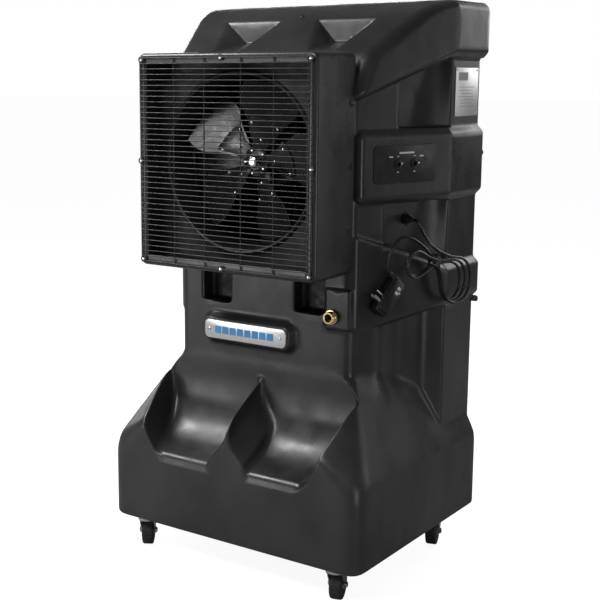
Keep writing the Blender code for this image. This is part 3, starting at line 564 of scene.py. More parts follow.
def blurred(field, size):
    """The field softened by a bell curve of the given size in metres."""
    spread_cells = size / VOXEL
    reach = int(math.ceil(2.6 * spread_cells))
    weights = np.exp(-0.5 * (np.arange(-reach, reach + 1) / spread_cells) ** 2)
    weights /= weights.sum()
    for axis in range(3):
        margin = [(reach, reach) if k == axis else (0, 0) for k in range(3)]
        wide = np.pad(field, margin, mode="reflect", reflect_type="odd")
        total = np.zeros_like(field)
        count = field.shape[axis]
        for k, weight in enumerate(weights):
            cells = [slice(None)] * 3
            cells[axis] = slice(k, k + count)
            total += np.float32(weight) * wide[tuple(cells)]
        field = total
    return field


def slab(value, low, high):
    """Distance to the space between two levels."""
    return np.maximum(low - value, value - high)


# ---------------------------------------------------------------- housing

HALF_LOW, HALF_HIGH = (-0.045, -0.345, 0.075), (0.395, 0.340, 1.425)
FRONT_CORNER = (ANGLE_FRONT.x + (COLUMN_FRONT - ANGLE_FRONT.y) * ALONG.x / ALONG.y, COLUMN_FRONT)
FAR_LEFT = -0.5  # past the plane of symmetry, where a right-hand outline is closed
COLUMN_PLAN = rounded_outline(
    [
        (FAR_LEFT, COLUMN_FRONT),
        FRONT_CORNER,
        tuple(ANGLE_REAR),
        (ANGLE_REAR.x, REAR),
        (FAR_LEFT, REAR),
    ],
    (0, 0.024, 0.012, 0.006, 0),
    8,
)
COLUMN_TOP = 1.300


def column_distance(x, y):
    return outline_distance(np.abs(x), y, COLUMN_PLAN)


def column(x, y, z):
    top = np.minimum(slope_level(y) - 0.035, COLUMN_TOP)
    return np.maximum(column_distance(x, y), np.maximum(0.20 - z, z - top))


def along_face(x, y, start_y):
    """How far a point lies along the angled face from a given y, and how deep under it."""
    side = np.abs(x)
    start = on_angle(start_y)
    along = (side - start.x) * ALONG.x + (y - start.y) * ALONG.y
    return along, -((side - start.x) * OUT.x + (y - start.y) * OUT.y)


def rim_radius(start_y, front, rear, length):
    """A rim that is soft at the pocket's front edge and crisp at its rear one."""

    def radius(x, y, z):
        along, _ = along_face(x, y, start_y)
        ends = (0.2 * length, 0.8 * length)
        return np.interp(along + 0 * z, ends, (front, rear)).astype(np.float32)

    return radius


def pocket(start_y, low, high, lip, ramp_low, ramp_high):
    """A tall pocket: its ramp's foot moves rearwards from the low end to the high one.

    ramp_low and ramp_high are how far the foot lies from the pocket's front edge.
    """
    end = (Vector(ANGLE_REAR) - on_angle(start_y)).length + 0.028

    def distance(x, y, z):
        s, depth = along_face(x, y, start_y)
        t = np.clip((z - low) / (high - low), 0, 1)
        foot = ramp_low + (ramp_high - ramp_low) * t
        run = end - foot
        length = np.sqrt(run * run + POCKET_DEPTH**2)
        ramp = ((s - foot) * POCKET_DEPTH - (POCKET_DEPTH - depth) * run) / length
        floor = depth - POCKET_DEPTH
        wall = -s + 0.10 * depth
        space = keep_both(keep_both(wall, floor, lip), ramp, 0.022)
        return keep_both(space, slab(z, low, high), 0.008)

    return distance


# Start y, low z, high z, radius in the corner, foot of the ramp at the low and the high end
POCKETS = (
    (-0.0135, 1.075, 1.262, 0.010, 0.098, 0.150),
    (-0.0535, 0.735, 0.960, 0.012, 0.130, 0.190),
)

# The recess under the lower belt: points along the face and into it, each with its radius
LOW_POCKET_Y = -0.012
LOW_POCKET_PLAN = (
    (-0.024, -0.030, 0.0),
    (-0.024, 0.000, 0.004),
    (0.046, 0.038, 0.050),
    (0.126, 0.041, 0.040),
    (0.170, 0.006, 0.002),
    (0.170, -0.030, 0.0),
)


def low_pocket(x, y, z):
    """The soft recess under the lower belt, whose front side is a broad round."""
    s, depth = along_face(x, y, LOW_POCKET_Y)
    plan = rounded_outline([p[:2] for p in LOW_POCKET_PLAN], [p[2] for p in LOW_POCKET_PLAN])
    return np.maximum(outline_distance(s, depth, plan), slab(z, 0.25, 0.70))


def belt(stations, taper=0.0):
    """A band that stands out of the angled and rear faces, with slanted upper and lower edges.

    Each station is (y, low z, high z). taper makes the band stand out less at its front.
    """
    ys, lows, highs = zip(*stations)

    def distance(x, y, z):
        low = np.interp(y, ys, lows).astype(np.float32)
        high = np.interp(y, ys, highs).astype(np.float32)
        rise = BELT - taper * np.clip((0.0 - y) / 0.13, 0, 1)
        face = column_distance(x, y) - rise
        face = keep_both(face, -0.1455 - y, 0.010)
        edge = slab(z, low, high)
        slant = (face + edge) / math.sqrt(2)
        band = keep_both(keep_both(face, slant, 0.004), edge - BELT, 0)
        return keep_both(band, y - REAR, 0.004)

    return distance


# Stations along y, and how much less the belt stands out at its front
BELTS = (
    (((-0.140, 0.938, 1.084), (0.310, 0.938, 1.084)), 0.0),
    (((-0.140, 0.630, 0.850), (0.128, 0.671, 0.749), (0.310, 0.671, 0.749)), 0.009),
)


def both_sides(points):
    return [(side * x, y, z) for x, y, z in points for side in SIDES]


SLOPE_Y, SLOPE_Z = -0.1235, 1.2735  # where the slope over the cowl starts
CAP_SLOPE = (1.391 - SLOPE_Z) / 0.180  # how fast it climbs to the rear


def slope_level(y):
    return SLOPE_Z + CAP_SLOPE * (y - SLOPE_Y)


CAP_OVERHANG = 0.009  # how far the cap stands out past the belts


def cap(x, y, z):
    """The sloping top, with broad rounds along its sides and a slanted lower edge."""
    slope = (z - slope_level(y)) / math.hypot(1, CAP_SLOPE)
    front = -0.9246 * (y + 0.1275) + 0.3824 * (z - SLOPE_Z)
    top = keep_both(slope, z - HEIGHT + 0.0005 + 0 * y, 0.045)
    side = column_distance(x, y) - BELT - CAP_OVERHANG
    shell = keep_both(keep_both(top, front, 0.010), side, 0.026)
    shell = keep_both(shell, y - REAR, 0.010)
    low = np.interp(y, (-0.140, 0.128, 0.31), (1.182, 1.280, 1.280)).astype(np.float32)
    under = (side + low - z) / math.sqrt(2)
    return np.maximum(keep_both(shell, under, 0.004), low - BELT - z)


def base_points():
    """Corners of the base's hull: its foot, its shoulder and its slope up to the column."""
    corner = 0.034
    base_x, front = 0.3695, -0.3055
    points = []
    for z in (0.060, 0.270):
        points += [(x, y, z) for x, y in arc((base_x - corner, front + corner), corner, -90, 0, 5)]
        points.append((base_x, REAR + 0.06, z))
    points += [
        (base_x, -0.262, 0.300),
        (base_x, REAR + 0.06, 0.288),
        (0.351, -0.291, 0.309),
        (0.266, front, 0.356),
        (0.284, -0.2355, 0.414),
        (0.285, -0.1590, 0.466),
        (0.262, -0.1480, 0.506),
        (0.2775, -0.0600, 0.486),
        (0.2945, 0.1095, 0.446),
        (ANGLE_REAR.x + 0.001, REAR + 0.06, 0.331),
        (0.0, front, 0.370),
        (0.0, -0.2785, 0.406),
    ]
    return both_sides(points)


BASE_HULL = hull_distance(base_points())


def base(x, y, z):
    body = blurred(BASE_HULL(x, y, z), 0.011)
    body = keep_both(body, y - REAR, 0.008)
    return keep_both(body, 0.090 - z, 0.012)


def curve_through(points):
    """Plan points of a smooth curve through the given ones."""
    return [(p.x, p.y) for p in smooth_path([(a, b, 0.0) for a, b in points], 0.006)]


# The scoops: the seat's run from its front lip up into the column, as (y, z)
SEAT = curve_through(
    (
        (-0.3055, 0.2700),
        (-0.2960, 0.2830),
        (-0.2780, 0.2915),
        (-0.2380, 0.3090),
        (-0.2030, 0.3360),
        (-0.1800, 0.3660),
        (-0.1630, 0.4020),
        (-0.1552, 0.4500),
        (-0.1541, 0.5100),
    )
)
SCOOP_FLOOR = [(-0.345, 0.245), *SEAT, (-0.1541, 0.62), (-0.345, 0.62)]
RIDGE_SLOPE = 0.577  # how fast the ridge between the scoops climbs to the rear
RIDGE_Y, RIDGE_Z = -0.2816, 0.4005
# The scoop's side towards the ridge, as (x, z) where the ridge starts
INNER_WALL = curve_through(
    (
        (0.0550, 0.1300),
        (0.0550, 0.2605),
        (0.0540, 0.2905),
        (0.0490, 0.3105),
        (0.0380, 0.3235),
        (0.0200, 0.3435),
        (0.0080, 0.3635),
        (0.0030, 0.3850),
        (0.0015, 0.4025),
    )
)
# The scoop's outer side, as (x, z)
OUTER_WALL = curve_through(
    (
        (0.2520, 0.530),
        (0.2660, 0.503),
        (0.2820, 0.468),
        (0.2765, 0.430),
        (0.2660, 0.385),
        (0.2535, 0.338),
        (0.2320, 0.300),
        (0.2050, 0.268),
        (0.1650, 0.232),
    )
)


def scoop(x, y, z):
    side = np.abs(x)
    floor = outline_distance(y, z, SCOOP_FLOOR)
    climb = z - RIDGE_SLOPE * (y - RIDGE_Y)
    ridge = [(-0.4, 0.130), *INNER_WALL, (-0.4, RIDGE_Z + 0.003)]
    room = [(FAR_LEFT, 0.9), (FAR_LEFT, 0.232), *OUTER_WALL[::-1], (0.252, 0.9)]
    inner = -outline_distance(side, climb, ridge)
    outer = outline_distance(side, z, room)
    return keep_both(keep_both(floor, inner, 0.012), outer, 0.012)


def slope_pocket_points():
    """A wedge in the slope: it runs down to a short floor at its rear, under a steep side."""
    rim = ((0.054, 0.003), (0.221, 0.003), (0.104, -0.1165), (0.170, -0.1165))
    floor_y, depth = -0.009, 0.046
    points = [(x, y, slope_level(y) + lift) for x, y in rim for lift in (0.0, 0.03)]
    return points + [(x, floor_y, slope_level(floor_y) - depth) for x in (0.112, 0.150)]


def box_distance(low, high, radius=0.0):
    def distance(x, y, z):
        parts = [slab(v, a, b) for v, a, b in zip((x, y, z), low, high)]
        result = parts[0]
        for part in parts[1:]:
            result = keep_both(result, part, radius)
        return result

    return distance


def rod_distance(start, direction, radius):
    start, direction = Vector(start), Vector(direction).normalized()

    def distance(x, y, z):
        offset = [v - s for v, s in zip((x, y, z), start)]
        along = sum(o * d for o, d in zip(offset, direction))
        square = sum(o * o for o in offset) - along * along
        return (np.sqrt(np.maximum(square, 0)) - radius).astype(np.float32)

    return distance


NAMEPLATE_MIDDLE, NAMEPLATE_HALF = (-0.0325, 0.5935), (0.1225, 0.0235)
BOSS_FRONT = -0.1795


def nameplate_boss(x, y, z):
    half_x, half_z = (half + 0.005 for half in NAMEPLATE_HALF)
    outline = rectangle(half_x, half_z, 0.017, NAMEPLATE_MIDDLE)
    grow = np.clip((y - BOSS_FRONT) / 0.026, 0, 1.2) * 0.010
    sides = outline_distance(x, z, outline) - grow
    return keep_both(sides, slab(y, BOSS_FRONT, -0.120), 0.004)


INLET = Vector((0.205, -0.1575, 0.659))
GLAND = (0.047, 0.878, -POCKET_DEPTH)  # y, z and distance from the angled face


def blend_radius(x, y, z):
    """The base runs into the column in a broad hollow, which tightens towards the rear."""
    places, radii = (-0.150, -0.050, 0.04, 0.13, 0.20), (0.018, 0.035, 0.030, 0.010, 0.0002)
    return np.interp(y + 0 * z + 0 * x, places, radii).astype(np.float32)


def scoop_rim(x, y, z):
    """The scoops' rims are round, and fade out where the seats run up into the column."""
    levels, radii = (0.26, 0.29, 0.46, 0.50), (0.010, 0.0045, 0.0045, 0.0001)
    return np.interp(z + 0 * y + 0 * x, levels, radii).astype(np.float32)


def column_recess():
    """The recess in the column's front, under the cowl, deep enough to look black; its faces are
    also painted darker as painted shade.
    """
    back = COLUMN_FRONT + RECESS_DEPTH
    return box_distance((0.094, -0.25, 0.660), (0.180, back, 0.800), 0.010)


def rear_face(x, y, z):
    return y - REAR + 0 * x * z


def housing():
    """The whole housing: its right-hand half, mirrored, and what only one side has.

    Each shape works in a window from low to high, so that little of the grid is visited.
    """
    half = Volume(HALF_LOW, HALF_HIGH)
    low, high = HALF_LOW, HALF_HIGH
    half.apply(join, column, (low[0], low[1], 0.19), (high[0], high[1], COLUMN_TOP), 0)
    for shape in POCKETS:
        window = (0.19, -0.12, shape[1] - 0.03), (high[0], 0.20, shape[2] + 0.03)
        half.apply(cut, pocket(*shape), *window, rim_radius(shape[0], 0.010, 0.003, 0.15))
    rim = rim_radius(LOW_POCKET_Y, 0.050, 0.0025, 0.15)
    half.apply(cut, low_pocket, (0.19, -0.12, 0.23), (high[0], 0.20, 0.72), rim)
    half.apply(join, base, low, (high[0], high[1], 0.600), blend_radius)
    half.apply(cut, scoop, (low[0], -0.345, 0.22), (0.350, -0.10, 0.62), scoop_rim)
    for stations, taper in BELTS:
        bottom = min(s[1] for s in stations) - 0.04
        top = max(s[2] for s in stations) + 0.04
        window = (0.15, -0.20, bottom), (high[0], high[1], top)
        half.apply(join, belt(stations, taper), *window, 0.003)
    half.apply(join, cap, (low[0], low[1], 1.13), high, 0.004)
    wedge = hull_distance(slope_pocket_points(), mirrored=False)
    half.apply(cut, wedge, (0.0, -0.16, 1.20), (0.28, 0.05, 1.42), 0.0045)
    half.apply(cut, column_recess(), (0.06, -0.26, 0.62), (0.22, -0.09, 0.83), 0.0025)
    half.apply(keep_both, rear_face, (low[0], 0.27, low[2]), high, 0)
    cavities(half)
    half.mirrored()
    one_sided(half)
    return half


# The air space behind the fan, as (y, z): it stays clear of the recesses under the cowl
PLENUM_SECTION = [
    (-0.092, 0.500),
    (-0.092, 0.812),
    (-0.138, 0.830),
    (-0.138, 1.195),
    (0.060, 1.300),
    (0.170, 1.315),
    (0.170, 0.500),
]


def cavities(half):
    """The air space, the pads' bay, the way down to the sump and the reservoir."""

    def plenum(x, y, z):
        return np.maximum(outline_distance(y, z, PLENUM_SECTION), np.abs(x) - 0.225)

    pads_bay = box_distance((FAR_LEFT, 0.165, 0.452), (0.305, 0.40, 1.335), 0.006)
    way_down = box_distance((FAR_LEFT, -0.020, 0.240), (0.200, 0.285, 0.520), 0.006)
    reservoir = box_distance((FAR_LEFT, -0.285, 0.098), (0.350, 0.295, 0.262), 0.012)
    throat = rod_distance((0, 0, FAN.z), (0, 1, 0), 0.210)
    for shape in (plenum, pads_bay, way_down, reservoir):
        half.apply(cut, shape, HALF_LOW, HALF_HIGH, 0.002)
    half.apply(cut, throat, (HALF_LOW[0], -0.20, 0.78), (0.24, -0.10, 1.25), 0.002)


def one_sided(body):
    """What only one side has: the nameplate's boss, the water inlet's pad and three holes."""
    body.apply(join, nameplate_boss, (-0.21, -0.20, 0.53), (0.15, -0.12, 0.66), 0.006)
    pad_low = (INLET.x - 0.020, INLET.y, INLET.z - 0.030)
    pad = box_distance(pad_low, (0.254, -0.12, INLET.z + 0.068), 0.005)
    body.apply(join, pad, (0.16, -0.18, 0.60), (0.29, -0.10, 0.76), 0.004)
    inlet_hole = rod_distance(INLET, (0, 1, 0), 0.0104)
    drain_hole = rod_distance((0.24, 0, 0.125), (0, 1, 0), 0.0125)
    body.apply(cut, inlet_hole, (0.17, -0.19, 0.63), (0.24, -0.10, 0.69), 0)
    body.apply(cut, drain_hole, (0.20, 0.26, 0.10), (0.28, 0.34, 0.15), 0)
    gland_frame = angle_frame(*GLAND)
    centre, reach = gland_frame.translation, Vector((0.03, 0.03, 0.03))
    gland_hole = rod_distance(centre, gland_frame.col[2][:3], 0.0094)
    body.apply(cut, gland_hole, centre - reach, centre + reach, 0)


def in_painted_shade_recess(place):
    """Whether a face's middle lies in one of the two recesses under the cowl, whose faces get a
    darker colour as painted shade.
    """
    x, y, z = place
    deep = COLUMN_FRONT + 0.003 < y < COLUMN_FRONT + RECESS_DEPTH + 0.008
    return deep and 0.09 < abs(x) < 0.184 and 0.655 < z < 0.805


def housing_piece():
    volume = housing()
    mesh = volume.mesh("housing_shell")
    piece = add_piece("housing_shell", mesh, POLY, ["housing"], smooth=0)
    thin_out(piece, HOUSING_TRIANGLES)
    # Faces inside the two recesses under the cowl take the darker dull enamel: painted shade
    piece.data.materials.append(DULL_BLACK_AND_RECESS_SHADE)
    for face in piece.data.polygons:
        face.material_index = int(in_painted_shade_recess(face.center))
    points = np.empty(3 * len(piece.data.vertices))
    piece.data.vertices.foreach_get("co", points)
    normals = volume.normals(points.reshape(-1, 3))
    piece.data.normals_split_custom_set_from_vertices(normals.tolist())


def thin_out(piece, target):
    """Reduces a mesh to about a number of triangles."""
    triangles = sum(len(f.vertices) - 2 for f in piece.data.polygons)
    if triangles <= target:
        return
    add_modifier(piece, "DECIMATE", "thin", ratio=target / triangles)
    graph = bpy.context.evaluated_depsgraph_get()
    mesh = bpy.data.meshes.new_from_object(piece.evaluated_get(graph))
    piece.modifiers.clear()
    piece.data = mesh
    mesh.shade_smooth()


# ---------------------------------------------------------------- cowl, venturi, guard


def swept_frame(bm, half, corner, profile, centre):
    """A profile of (inset, y) points carried round a square with rounded corners."""
    rings = []
    for inset, y in profile:
        radius = max(corner - inset, 0.0015)
        size = half - inset
        outline = rectangle(size, size, radius, count=8)
        rings.append([bm.verts.new((centre.x + x, y, centre.z + z)) for x, z in outline])
    bridge(bm, rings, closed=True)


def cowl():
    """The square box round the fan, with a rolled flange at its front."""
    lip, wall, rear = 0.026, 0.004, -0.1541
    outer, inner = 0.009, 0.003  # radii of the flange's outer and inner edges
    end = lip - inner
    profile = [(0.0, rear), (0.0, -0.22)]
    for t in np.linspace(0, math.pi / 2, 8):
        profile.append((outer - outer * math.cos(t), COWL_FRONT + outer - outer * math.sin(t)))
    for t in np.linspace(0, math.pi / 2, 5):
        profile.append((end + inner * math.sin(t), COWL_FRONT + inner - inner * math.cos(t)))
    behind = ((lip, 0.0105), (lip - 0.002, 0.0115), (wall + 0.004, 0.0115), (wall, 0.016))
    profile += [(inset, COWL_FRONT + depth) for inset, depth in behind]
    profile.append((wall, rear))
    bm = bmesh.new()
    swept_frame(bm, COWL_HALF, 0.017, profile, FAN)
    add_piece("cowl_shell", bm, COWL_POLY, ["fan_cowl"], smooth=50)


def around_fan(bm, points):
    """A ring of vertices from points (x, depth behind the panel's face, z) about the fan."""
    return [bm.verts.new((x, VENTURI_Y - depth, FAN.z + z)) for x, depth, z in points]


def venturi():
    """A pressed panel with a rolled throat and a crease towards each corner."""
    half = COWL_HALF - 0.0048
    mouth, sunk = RING_RADIUS + 0.0135, -0.0062
    turns = 96
    circle = [(math.cos(a), math.sin(a)) for a in (math.tau * k / turns for k in range(turns))]
    throat = (
        (0.0022, -0.085),
        (0.0, -0.085),
        (0.0, -0.020),
        (0.0012, -0.009),
        (0.0035, -0.0025),
        (0.0075, 0.0),
        (0.0115, -0.0022),
        (mouth - RING_RADIUS, sunk),
    )
    bm = bmesh.new()
    rings = []
    for outwards, depth in throat:
        radius = RING_RADIUS + outwards
        rings.append(around_fan(bm, [(radius * c, depth, radius * s) for c, s in circle]))
    for t in (0.05, 0.12, 0.25, 0.42, 0.60, 0.78, 0.92, 1.0):
        points = []
        for k, (c, s) in enumerate(circle):
            edge = half / max(abs(c), abs(s))
            radius = mouth + (edge - mouth) * t
            off_diagonal = abs(((360 * k / turns - 45) % 90 + 45) % 90 - 45)
            crease = 0.004 * max(0.0, 1 - off_diagonal / 5.0)
            crease *= math.sin(math.pi * min(1.0, t * 1.2))
            depth = sunk - 0.004 * math.sin(math.pi * t) + crease
            points.append((radius * c, depth, radius * s))
        rings.append(around_fan(bm, points))
    rings.append([bm.verts.new((v.co.x, -0.1585, v.co.z)) for v in rings[-1]])
    bridge(bm, rings)
    piece = add_piece("venturi_skin", bm, DULL_BLACK_AND_RECESS_SHADE, ["venturi_panel"])
    add_modifier(piece, "SOLIDIFY", "sheet", thickness=0.0012, offset=0.0)


WIRE_RADIUS, UPRIGHT_RADIUS = 0.00115, 0.0015
GUARD_HALF = 0.2437
GUARD_ROWS = 39
GUARD_UPRIGHTS = (0.2437, 0.2318, 0.1424, 0.0521)
GUARD_SCREW = (
    (0, 0.0052),
    (0.0030, 0.0046),
    (0.0048, 0.0026),
    (0.0052, 0.0010),
    (0.0052, 0.0),
    (0.0026, 0.0),
    (0.0026, -0.006),
    (0, -0.006),
)


def guard():
    """The welded wire guard: its wires, the eyes that hold it and their screws."""
    bm = bmesh.new()
    front, behind = GUARD_Y - WIRE_RADIUS, GUARD_Y + WIRE_RADIUS
    reach = GUARD_HALF + WIRE_RADIUS
    for row in range(GUARD_ROWS):
        z = FAN.z - GUARD_HALF + 2 * GUARD_HALF * row / (GUARD_ROWS - 1)
        tube(bm, [(-reach, front, z), (reach, front, z)], WIRE_RADIUS)
    reach = GUARD_HALF + UPRIGHT_RADIUS
    for x in GUARD_UPRIGHTS:
        for side in SIDES:
            ends = [(side * x, behind, FAN.z + end) for end in (-reach, reach)]
            tube(bm, ends, UPRIGHT_RADIUS)
    eyes, screws = bmesh.new(), bmesh.new()
    places = [(x, z) for x in (-1, 0, 1) for z in (-1, 0, 1) if x or z]
    for x, z in places:
        inset = 0.2400 if x and z else GUARD_HALF
        spot_x = x * inset if x else -0.004
        spot = Vector((spot_x, GUARD_Y - 0.0006, FAN.z + z * inset))
        ring = [(spot.x + a, spot.y, spot.z + b) for a, b in arc((0, 0), 0.0068, 0, 342, 19)]
        tube(eyes, ring, WIRE_RADIUS, closed=True)
        seat = (spot.x, GUARD_Y + 0.0012, spot.z)
        lathe(screws, GUARD_SCREW, axis_matrix(seat, FRONTWARDS), 20)
    add_piece("guard_wires", bm, WIRE, ["fan_guard"], smooth=60)
    add_piece("guard_eyes", eyes, WIRE, smooth=60)
    add_piece("guard_screws", screws, STEEL)


# ---------------------------------------------------------------- fan

BLADES, FIRST_BLADE, PITCH = 5, math.radians(74), math.radians(24)
# How far out each row of a blade lies, and half its width there
CHORD = (
    (0.044, 0.024),
    (0.070, 0.034),
    (0.092, 0.044),
    (0.112, 0.060),
    (0.130, 0.0735),
    (0.155, 0.0750),
    (0.178, 0.0742),
)
TIP_RADIUS = 0.1928
ROTOR_Y = FAN.y + 0.006


def blade_matrix(number):
    angle = FIRST_BLADE + math.tau * number / BLADES
    place = Matrix.Translation((0, ROTOR_Y, FAN.z))
    turned = place @ Matrix.Rotation(-angle, 4, "Y") @ Matrix.Rotation(PITCH, 4, "X")
    return turned @ FACING_FRONT


def blade_height(r, c, half_chord):
    """How far the sheet bows: a slight camber that grows towards the tip."""
    return -0.0012 + 0.0050 * (c / half_chord) ** 2 * min(1.0, (r - 0.04) / 0.10)


def blade(number):
    """One sheet-metal blade, whose tip follows the throat."""
    matrix = blade_matrix(number)
    across = [k / 6 for k in range(-6, 7)]
    rows = [[(r, half * v, half) for v in across] for r, half in CHORD]
    last_r, last = CHORD[-1]
    for t in (0.5, 1.0):
        row = []
        for c in (last * v for v in across):
            tip = math.sqrt(TIP_RADIUS**2 - c * c)
            row.append((last_r + (tip - last_r) * t, c, last))
        rows.append(row)
    bm = bmesh.new()
    verts = []
    for row in rows:
        places = [Vector((r, c, blade_height(r, c, half))) for r, c, half in row]
        verts.append([bm.verts.new(matrix @ place) for place in places])
    for low, high in zip(verts, verts[1:]):
        for k in range(len(across) - 1):
            bm.faces.new([low[k], low[k + 1], high[k + 1], high[k]])
    name = f"blade_{number + 1}"
    piece = add_piece(name, bm, ENAMEL, [f"fan_{name}"], body="fan", smooth=60)
    add_modifier(piece, "SOLIDIFY", "sheet", thickness=0.0016, offset=0.0)
    settings = dict(levels=1, render_levels=1, boundary_smooth="PRESERVE_CORNERS")
    add_modifier(piece, "SUBSURF", "smooth", **settings)


SPIDER_DISC = (
    (0.0, -0.004),
    (0.034, -0.004),
    (0.0365, -0.0015),
    (0.0365, 0.0015),
    (0.0345, 0.0038),
    (0.024, 0.0055),
    (0.020, 0.0085),
    (0.0, 0.0085),
)
# The right half of an arm's outline, from the disc outwards, each corner with its radius
SPIDER_ARM = ((0.024, 0.0165, 0.002), (0.060, 0.021, 0.012), (0.103, 0.043, 0.007))
SPIDER_ARM_END = (0.106, 0.0, 0.03)
RIVET = ((0.0, 0.0031), (0.0022, 0.0027), (0.0040, 0.0014), (0.0046, 0.0))
RIVET += ((0.0046, -0.0006), (0.0, -0.0006))
DISC_RIVET = ((0.0, 0.0034), (0.0026, 0.0030), (0.0042, 0.0012), (0.0042, -0.001), (0.0, -0.001))
HUB_BUTTON = (
    (0.0, 0.0112),
    (0.0040, 0.0112),
    (0.0046, 0.0104),
    (0.0076, 0.0104),
    (0.0086, 0.0116),
    (0.0125, 0.0100),
    (0.0150, 0.0066),
    (0.0160, 0.0),
    (0.0, 0.0),
)


def rotor():
    """The pressed spider with its arms and rivets, the blades and the hub's button."""
    spider, rivets, hub = bmesh.new(), bmesh.new(), bmesh.new()
    lathe(spider, SPIDER_DISC, axis_matrix((0, ROTOR_Y, FAN.z), FRONTWARDS), 40)
    left = [(r, -c, radius) for r, c, radius in SPIDER_ARM]
    corners = [*left, SPIDER_ARM_END, *SPIDER_ARM[::-1]]
    arm = rounded_outline([p[:2] for p in corners], [p[2] for p in corners], 4)
    for number in range(BLADES):
        matrix = blade_matrix(number)
        plate(spider, arm, matrix, 0.0006, 0.0030, 0.0008)
        for r, c in ((0.054, 0.0), (0.0885, -0.0325), (0.0885, 0.0325)):
            spot = matrix @ Vector((r, c, 0.0030))
            lathe(rivets, RIVET, axis_matrix(spot, matrix.to_3x3() @ Vector((0, 0, 1))), 16)
    for k in range(BLADES):
        a = FIRST_BLADE + math.tau * (k + 0.5) / BLADES
        spot = (0.0285 * math.cos(a), FAN.y + 0.001, FAN.z + 0.0285 * math.sin(a))
        lathe(rivets, DISC_RIVET, axis_matrix(spot, FRONTWARDS), 14)
    add_piece("fan_spider", spider, ENAMEL, ["fan_hub"], body="fan")
    add_piece("fan_rivets", rivets, STEEL, body="fan")
    for number in range(BLADES):
        blade(number)
    lathe(hub, HUB_BUTTON, axis_matrix((0, FAN.y - 0.0045, FAN.z), FRONTWARDS), 36)
    add_piece("hub_button", hub, STEEL, ["hub_cap"], body="fan", smooth=30)


# ---------------------------------------------------------------- controls and plates


def bar(bm, matrix, middle, half_x, half_y, height=0.0004):
    """A plain block of print, in place of words."""
    plate(bm, rectangle(half_x, half_y, min(half_y * 0.6, 0.0008), middle, 2), matrix, 0.0, height)


SWITCHES = {"fan_switch": -0.026, "pump_switch": 0.027}  # how far along the panel each lies
LEVER_LEAN = math.radians(13)
NUT_TEETH = 20
SWITCH_NUT = (
    (0.0082, 0.0),
    (0.0115, 0.0),
    (0.0120, 0.0006),
    (0.0120, 0.0024),
    (0.0110, 0.0032),
    (0.0092, 0.0032),
    (0.0086, 0.0046),
    (0.0062, 0.0050),
    (0.0050, 0.0044),
    (0.0048, 0.0010),
)
SWITCH_LEVER = (
    (0.0, -0.0010),
    (0.0018, -0.0010),
    (0.0018, 0.0030),
    (0.0020, 0.0090),
    (0.0027, 0.0120),
    (0.0026, 0.0136),
    (0.0016, 0.0143),
    (0.0, 0.0144),
)


def controls():
    """The control panel, its print, and its two toggle switches."""
    frame_matrix = angle_frame(-0.008, 1.017, BELT + 0.0004)
    panel = bmesh.new()
    plate(panel, rectangle(0.100, 0.045, 0.012), frame_matrix, 0.0, 0.0019, 0.0008)
    add_piece("panel_skin", panel, PANEL, ["control_panel"])
    marks, nuts = bmesh.new(), bmesh.new()
    on_panel = frame_matrix @ Matrix.Translation((0, 0, 0.0018))
    bar(marks, on_panel, (0.002, 0.0262), 0.0240, 0.0021)
    for along in SWITCHES.values():
        for up in (0.0185, -0.0185):
            bar(marks, on_panel, (along, up), 0.0030, 0.0011)
        bar(marks, on_panel, (along + math.copysign(0.0225, along), 0.0175), 0.0062, 0.0016)
        spot = frame_matrix @ Matrix.Translation((along, 0, 0.0014))
        lathe(nuts, SWITCH_NUT, spot, 32)
        for k in range(NUT_TEETH):
            turned = spot @ Matrix.Rotation(math.tau * k / NUT_TEETH, 4, "Z")
            tooth = turned @ Matrix.Translation((0.0119, 0, 0.0013))
            plate(nuts, rectangle(0.0004, 0.0006, 0.0002, count=1), tooth, -0.0008, 0.0010)
    add_piece("panel_marks", marks, WHITE_PRINT, smooth=30)
    add_piece("switch_nuts", nuts, ENAMEL)
    direction = Vector((*OUT * math.cos(LEVER_LEAN), math.sin(LEVER_LEAN)))
    for name, along in SWITCHES.items():
        bm = bmesh.new()
        centre = frame_matrix @ Vector((along, 0, 0.0035))
        lathe(bm, SWITCH_LEVER, axis_matrix(centre, direction), 20)
        add_piece(f"{name}_lever", bm, STEEL, [name], body=f"{name}_lever")


def nameplate():
    """A silver plate with a row of plain blue blocks in place of its words."""
    face = -BOSS_FRONT + 0.0004
    place = Matrix.Translation((NAMEPLATE_MIDDLE[0], 0, NAMEPLATE_MIDDLE[1]))
    to_front = place @ FACING_FRONT
    skin, bars, screws = bmesh.new(), bmesh.new(), bmesh.new()
    plate(skin, rectangle(*NAMEPLATE_HALF, 0.013), to_front, face, face + 0.0026, 0.0012, 3)
    surface = to_front @ Matrix.Translation((0, 0, face + 0.0024))
    for k in range(8):
        bar(bars, surface, (-0.0805 + 0.0225 * k, 0.0), 0.0097, 0.0092)
    head = ((0.0, 0.0020), (0.0024, 0.0017), (0.0038, 0.0004), (0.0038, -0.0004), (0.0, -0.0004))
    for x in (-0.107, 0.107):
        lathe(screws, head, to_front @ Matrix.Translation((x, 0, face + 0.0026)), 18)
    add_piece("nameplate_skin", skin, SILVER, ["nameplate"])
    add_piece("nameplate_bar", bars, BLUE, smooth=30)
    add_piece("nameplate_screws", screws, STEEL)


